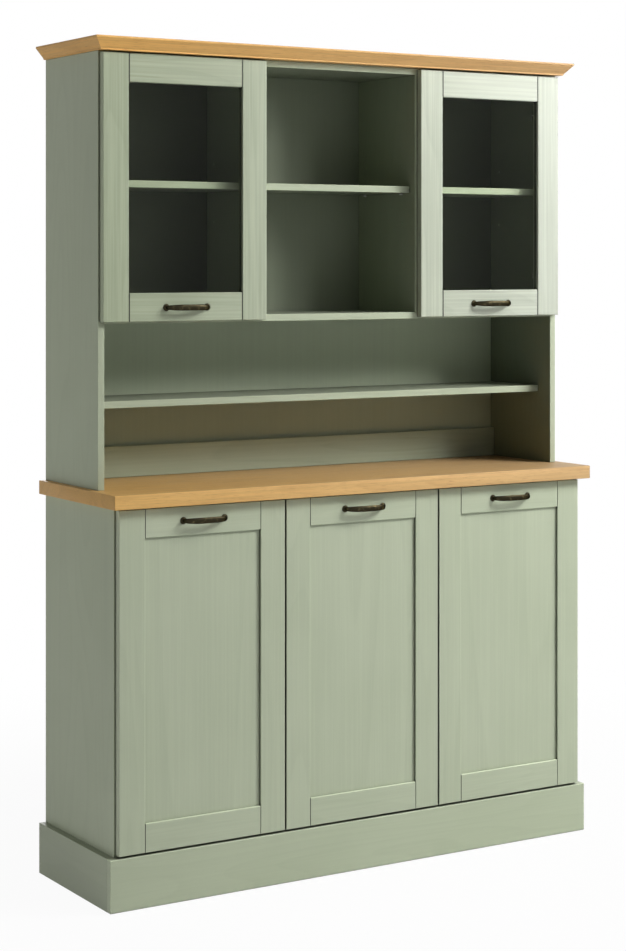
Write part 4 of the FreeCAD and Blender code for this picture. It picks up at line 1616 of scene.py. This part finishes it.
@dataclass(frozen=True)
class Screw:
    """A pan-head screw with a cross recess; its seat is at Z = 0 and its head above it."""

    length: float
    shank_radius: float = 0.002
    tip_length: float = 0.002
    head_radius: float = 0.004
    head_height: float = 0.0025
    sides: int = 28

    def mesh(self) -> Mesh:
        """Make the screw.

        Returns:
            Its mesh.
        """
        shank, head, top, end = self.shank_radius, self.head_radius, self.head_height, -self.length
        form = Form()
        form.turn((
            (0.0, end), (shank * 0.6, end), (shank, end + self.tip_length), (shank, 0.0),
            (head * 0.96, 0.0), (head, 0.0003), (head, top * 0.45), (head * 0.86, top * 0.8),
            (head * 0.6, top * 0.96), (0.0, top - 0.00005),
        ), self.sides)
        form.cross_recess(top - 0.0001, head * 1.1, head * 0.24)
        return form.mesh("screw")


@dataclass
class Door(Part):
    """One framed door with its filling, hinges and handle."""

    bow: Tree
    name: str
    hung: Hung
    upright: str
    glazed: bool
    screw_length: float = 0.021

    def build(self) -> None:
        """Dress the frame and make the hardware."""
        coat = "washed" if self.glazed else "sage"
        self.shop.dress(f"{coat}_stile", [f"{self.name}_stiles"])
        self.shop.dress(f"{coat}_rail", [f"{self.name}_rails"])
        if self.glazed:
            self.shop.dress("pane_glass", [f"{self.name}_pane"])
            self.shop.dress("washed_stile", [f"{self.name}_beads"])
        else:
            self.shop.dress("sage_panel", [f"{self.name}_panel"])
        handle = BowHandle(self.shop, self.name, self.bow)
        handle.build()
        hinge = Hinge(self.shop, self.name, self.hung, self.upright)
        for piece in (hinge.build_cups(), self._screws(handle.half_span)):
            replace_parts(piece, f"{self.name}_fittings")
        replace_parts(hinge.build_arms(), "hinge_arms")

    def _screws(self, half_span: float) -> Piece:
        """Make the two screws that hold the handle, their heads on the door's rear face.

        Args:
            half_span: Half the distance between the screws.

        Returns:
            The piece.
        """
        handle = Box.of(f"{self.name}_handle").middle
        rear = Box.of(f"{self.name}_rails").high.y
        places = [Vector((handle.x + side * half_span, rear, handle.z)) for side in BOTH_SIDES]
        return self.shop.repeated(
            f"{self.name}_handle_screws", Screw(self.screw_length).mesh(), places, Facing.REAR,
            self.name, "nickel_steel")


@dataclass
class Counter(Part):
    """The solid oak counter."""

    node: str = "countertop"
    rounding: float = 0.0014

    def build(self) -> None:
        """Make the counter as one slab with its grain along its length."""
        box = Box.of(self.node)
        form = Form()
        form.block(tuple(box.low), tuple(box.high), self.rounding, 3)
        mesh = form.mesh("counter", 50.0)
        write_grain(mesh, lambda point: (point.y, point.z, point.x))
        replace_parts(self.shop.new_piece("oak_counter", mesh, "root", "oiled_oak"), self.node)


@dataclass
class Cornice(Part):
    """The oak cornice: three sloping boards mitred at the front corners, round a flat panel."""

    node: str = "cornice"
    low_edge: float = 0.003
    high_edge: float = 0.004
    lean: float = 0.0195
    width: float = 0.064
    easing: float = 0.0008
    panel_drop: float = 0.0004
    panel_easing: float = 0.0006

    def _profile(self, low: float, high: float) -> list[tuple[float, float]]:
        """The section of a board.

        Args:
            low: Height of its lower face.
            high: Height of its upper face.

        Returns:
            How far out from the foot, and how high, each corner is.
        """
        out, ease = self.lean, self.easing
        return [
            (-self.width, low), (-ease, low), (0.0, low + ease), (0.0, low + self.low_edge),
            (out, high - self.high_edge), (out, high - ease), (out - ease * 0.3, high - ease * 0.3),
            (out - ease, high), (-self.width, high),
        ]

    def build(self) -> None:
        """Make the boards and the panel, each with its own grain, as one piece."""
        box = Box.of(self.node)
        half, front, rear = box.high.x - self.lean, box.low.y + self.lean, box.high.y
        profile = self._profile(box.low.z, box.high.z)
        left, right = (
            [Vector((side * (half + out), front - out, z)) for out, z in profile]
            for side in BOTH_SIDES)
        left_rear, right_rear = (
            [Vector((point.x, rear, point.z)) for point in corner] for corner in (left, right))
        meshes = []
        for starts, ends, place in (
            (left, right, lambda point: (point.y, point.z, point.x)),
            (left_rear, left, lambda point: (point.x + 0.9, point.z, point.y + 1.7)),
            (right, right_rear, lambda point: (point.x - 0.4, point.z, point.y - 2.1)),
        ):
            form = Form()
            form.run(starts, ends)
            meshes.append(form.mesh("cornice_board", 30.0))
            write_grain(meshes[-1], place)
        form = Form()
        form.block(
            (-half + self.width, front + self.width, box.low.z),
            (half - self.width, rear, box.high.z - self.panel_drop), self.panel_easing, 1)
        meshes.append(form.mesh("cornice_panel"))
        write_grain(meshes[-1], lambda point: (point.y + 0.55, point.z, point.x + 0.8))
        mesh = joined_meshes("cornice_boards", meshes)
        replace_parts(self.shop.new_piece("oak_cornice", mesh, "root", "warm_oak"), self.node)


LOOSE_SHELVES = tuple(
    f"{part}_{bay}_shelf" for part in ("base", "hutch") for bay in ("left", "centre", "right"))


@dataclass
class Carcass(Part):
    """The boards of the base and the hutch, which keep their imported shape."""

    COATS = {
        "sage_side": (
            "base_left_side", "base_right_side", "hutch_left_side", "hutch_right_side"),
        "sage_divider": (
            "base_left_divider", "base_right_divider", "hutch_left_divider",
            "hutch_right_divider"),
        "sage_shelf": (
            "base_floor", "hutch_floor", "hutch_top_panel", "niche_shelf", *LOOSE_SHELVES),
        "sage_niche_rail": ("niche_back_rail",),
        "sage_across": ("base_toe_rails", "base_top_rails"),
        "sage_plinth": ("plinth_front",),
        "sage_deep": ("plinth_left", "plinth_right"),
        "back_board": ("base_back_panel", "hutch_back_panel"),
        "bare_beech": ("dowels",),
    }

    def build(self) -> None:
        """Dress every board by the way that its grain runs."""
        for finish, nodes in self.COATS.items():
            self.shop.dress(finish, nodes)


@dataclass
class ShelfPins(Part):
    """Four steel pins under each loose shelf, each with a collar against its upright."""

    radius: float = 0.0025
    collar: float = 0.0034
    inset: float = 0.035
    side_gap: float = 0.001
    rear_gap: float = 0.002
    seated: float = 0.007
    free: float = 0.008
    sides: int = 20

    def build(self) -> None:
        """Make the pins of every shelf."""
        radius, collar, free = self.radius, self.collar, self.free
        pin = turned("shelf_pin", (
            (0.0, -self.seated), (radius * 0.7, -self.seated), (radius, -self.seated + 0.0008),
            (radius, 0.0), (collar, 0.0), (collar, 0.0006), (collar - 0.0003, 0.0008),
            (radius, 0.0008), (radius, free - 0.0012), (radius * 0.8, free - 0.0003), (0.0, free),
        ), self.sides)
        rows: dict[Facing, list[Vector]] = {Facing.RIGHT: [], Facing.LEFT: []}
        for shelf in LOOSE_SHELVES:
            box = Box.of(shelf)
            for y in (box.low.y + self.inset, box.high.y + self.rear_gap - self.inset):
                z = box.low.z - radius
                rows[Facing.RIGHT].append(Vector((box.low.x - self.side_gap, y, z)))
                rows[Facing.LEFT].append(Vector((box.high.x + self.side_gap, y, z)))
        for facing, places in rows.items():
            name = f"shelf_pins_facing_{facing.name.lower()}"
            piece = self.shop.repeated(name, pin, places, facing, "root", "nickel_steel")
            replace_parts(piece, "shelf_pins")


@dataclass
class CounterScrews(Part):
    """Screws that rise through the top rails into the counter, two rows of three."""

    rail_half_width: float = 0.04
    length: float = 0.034

    def build(self) -> None:
        """Make the screws."""
        rails = Box.of("base_top_rails")
        across = (Box.of("base_right_side").low.x + Box.of("base_right_divider").high.x) / 2
        places = [
            Vector((x, y, rails.low.z))
            for x in (-across, 0.0, across)
            for y in (rails.low.y + self.rail_half_width, rails.high.y - self.rail_half_width)
        ]
        piece = self.shop.repeated(
            "counter_screw_rows", Screw(self.length).mesh(), places, Facing.DOWN, "root",
            "nickel_steel")
        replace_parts(piece, "counter_screws")


@dataclass
class Glides(Part):
    """Round glides under the sides and under the middle of both toe rails."""

    inset: float = 0.03
    radius: float = 0.0075
    height: float = 0.002
    sides: int = 36

    def build(self) -> None:
        """Make the glides."""
        side = Box.of("base_right_side")
        rails = Box.of("base_toe_rails")
        half_board = (side.high.x - side.low.x) / 2
        places = [
            Vector((sign * side.middle.x, y, self.height))
            for sign in BOTH_SIDES
            for y in (side.low.y + self.inset, side.high.y - self.inset)
        ]
        places += [
            Vector((0.0, y, self.height))
            for y in (rails.low.y + half_board, rails.high.y - half_board)]
        radius, deep = self.radius, self.height
        glide = turned("glide", (
            (0.0, 0.0), (radius * 0.98, 0.0), (radius, 0.0002), (radius, deep * 0.5),
            (radius * 0.96, deep * 0.8), (radius * 0.86, deep), (0.0, deep),
        ), self.sides)
        piece = self.shop.repeated(
            "round_glides", glide, places, Facing.DOWN, "root", "black_glide")
        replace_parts(piece, "floor_glides")


@dataclass(frozen=True)
class SoftLamp:
    """A square soft lamp: where it hangs, what it points at, its side in metres and its watts."""

    name: str
    place: Point
    target: Point
    size: float
    power: float

    def hang(self) -> None:
        """Put the lamp in the scene."""
        data = bpy.data.lights.new(self.name, "AREA")
        data.shape = "SQUARE"
        data.size = self.size
        data.energy = self.power
        lamp = added(self.name, data)
        lamp.location = self.place
        way = Vector(self.target) - Vector(self.place)
        lamp.rotation_euler = way.to_track_quat("-Z", "Y").to_euler()


@dataclass
class Studio:
    """A pale floor, a white surround, soft lamps and the camera of the photograph."""

    AIM = (0.1, -0.1, 1.0)
    LAMPS = (
        SoftLamp("key_lamp", (3.67, -4.35, 5.33), AIM, 2.9, 208.0),
        SoftLamp("side_lamp", (6.04, -3.26, 3.99), AIM, 2.9, 118.0),
        SoftLamp("near_lamp", (2.0, -1.6, 2.5), (0.4, -0.1, 1.5), 0.9, 50.0),
        SoftLamp("front_lamp", (1.26, -8.32, 3.38), AIM, 2.9, 22.0),
        SoftLamp("left_lamp", (-3.2, 1.4, 2.4), (-0.6, 0.0, 1.0), 2.0, 4.0),
        SoftLamp("low_left_lamp", (-3.6, 0.9, 0.9), (-0.6, 0.0, 0.9), 2.0, 20.5),
        SoftLamp("rear_lamp", (1.6, 4.4, 2.4), (0.0, 0.2, 1.0), 2.0, 60.0),
    )

    lens: float = 80.63
    sensor: float = 36.0
    heading: float = 31.74
    eye: Point = (-2.7585, -4.4054, 1.4456)
    drop: float = -0.2264
    surround: float = 0.04
    floor_pale: Colour = (0.82, 0.82, 0.815)
    floor_deep: Colour = (0.80, 0.80, 0.80)
    floor_half: float = 30.0
    glow_near: float = 0.9
    glow_far: float = 2.4
    floor_glow: float = 0.95

    def build(self) -> None:
        """Set up the whole studio."""
        self._view()
        self._world()
        self._floor()
        for lamp in self.LAMPS:
            lamp.hang()

    def _view(self) -> None:
        """Place the camera; it looks level, and its shift brings the cabinet into the frame."""
        data = bpy.data.cameras.new("photo_camera")
        data.lens = self.lens
        data.sensor_width = self.sensor
        data.shift_y = self.drop
        data.clip_start = 0.1
        camera = added("photo_camera", data)
        camera.location = self.eye
        camera.rotation_euler = (math.pi / 2, 0.0, -math.radians(self.heading))
        bpy.context.scene.camera = camera
        bpy.context.scene.view_settings.view_transform = "Standard"

    @staticmethod
    def _seen(graph: Graph) -> Socket:
        """Tell rays that see from rays that light.

        Args:
            graph: The graph of the floor or the world.

        Returns:
            1 for rays seen straight, in a gloss or through glass, and 0 for the others.
        """
        path = graph.node("ShaderNodeLightPath").outputs
        seen = graph.most(
            path["Is Camera Ray"], path["Is Glossy Ray"], path["Is Transmission Ray"])
        return graph.product(seen, graph.calc("LESS_THAN", path["Diffuse Depth"], 0.5))

    def _world(self) -> None:
        """White where it is seen, and a plain soft light where it lights the cabinet."""
        world = bpy.data.worlds.new("studio")
        world.use_nodes = True
        graph = Graph(world.node_tree)
        strength = graph.spread(self._seen(graph), 0.0, 1.0, self.surround, 1.0)
        graph.fill(world.node_tree.nodes["Background"], {"Color": WHITE, "Strength": strength})
        bpy.context.scene.world = world

    def _floor(self) -> None:
        """A wide pale floor that keeps the cabinet's soft shadow."""
        coat = Coat("pale_floor")
        place = coat.place()
        coat.dress({
            "Base Color": coat.mixed(coat.noise(place, 1.5), self.floor_pale, self.floor_deep),
            "Roughness": 0.9,
            "Specular IOR Level": 0.1})
        away = coat.vector("LENGTH", place)
        glow = coat.node("ShaderNodeEmission", {"Color": WHITE})
        share = coat.product(
            self._seen(coat),
            coat.spread(away, self.glow_near, self.glow_far, self.floor_glow, 1.0))
        coat.cover(share, coat.shader.outputs[0], glow.outputs[0])
        form = Form()
        bmesh.ops.create_grid(form.shape, x_segments=8, y_segments=8, size=self.floor_half)
        mesh = form.mesh("floor")
        mesh.materials.append(coat.material)
        added("floor", mesh)


DOORS = (
    ("base_left_door", Hung.LEFT, "base_left_side", False),
    ("base_centre_door", Hung.LEFT, "base_left_divider", False),
    ("base_right_door", Hung.RIGHT, "base_right_side", False),
    ("glass_left_door", Hung.LEFT, "hutch_left_side", True),
    ("glass_right_door", Hung.RIGHT, "hutch_right_side", True),
)


def main() -> None:
    """Load the frame, build every sub-assembly in order and set up the studio."""
    logging.basicConfig(level=logging.INFO, format="%(name)s: %(message)s")
    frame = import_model()
    shop = Workshop(frame)
    Carcass(shop).build()
    Counter(shop).build()
    Cornice(shop).build()
    bow = BowGraph.built()
    for door in DOORS:
        Door(shop, bow, *door).build()
    ShelfPins(shop).build()
    CounterScrews(shop).build()
    Glides(shop).build()
    Studio().build()


if __name__ == "__main__":
    main()
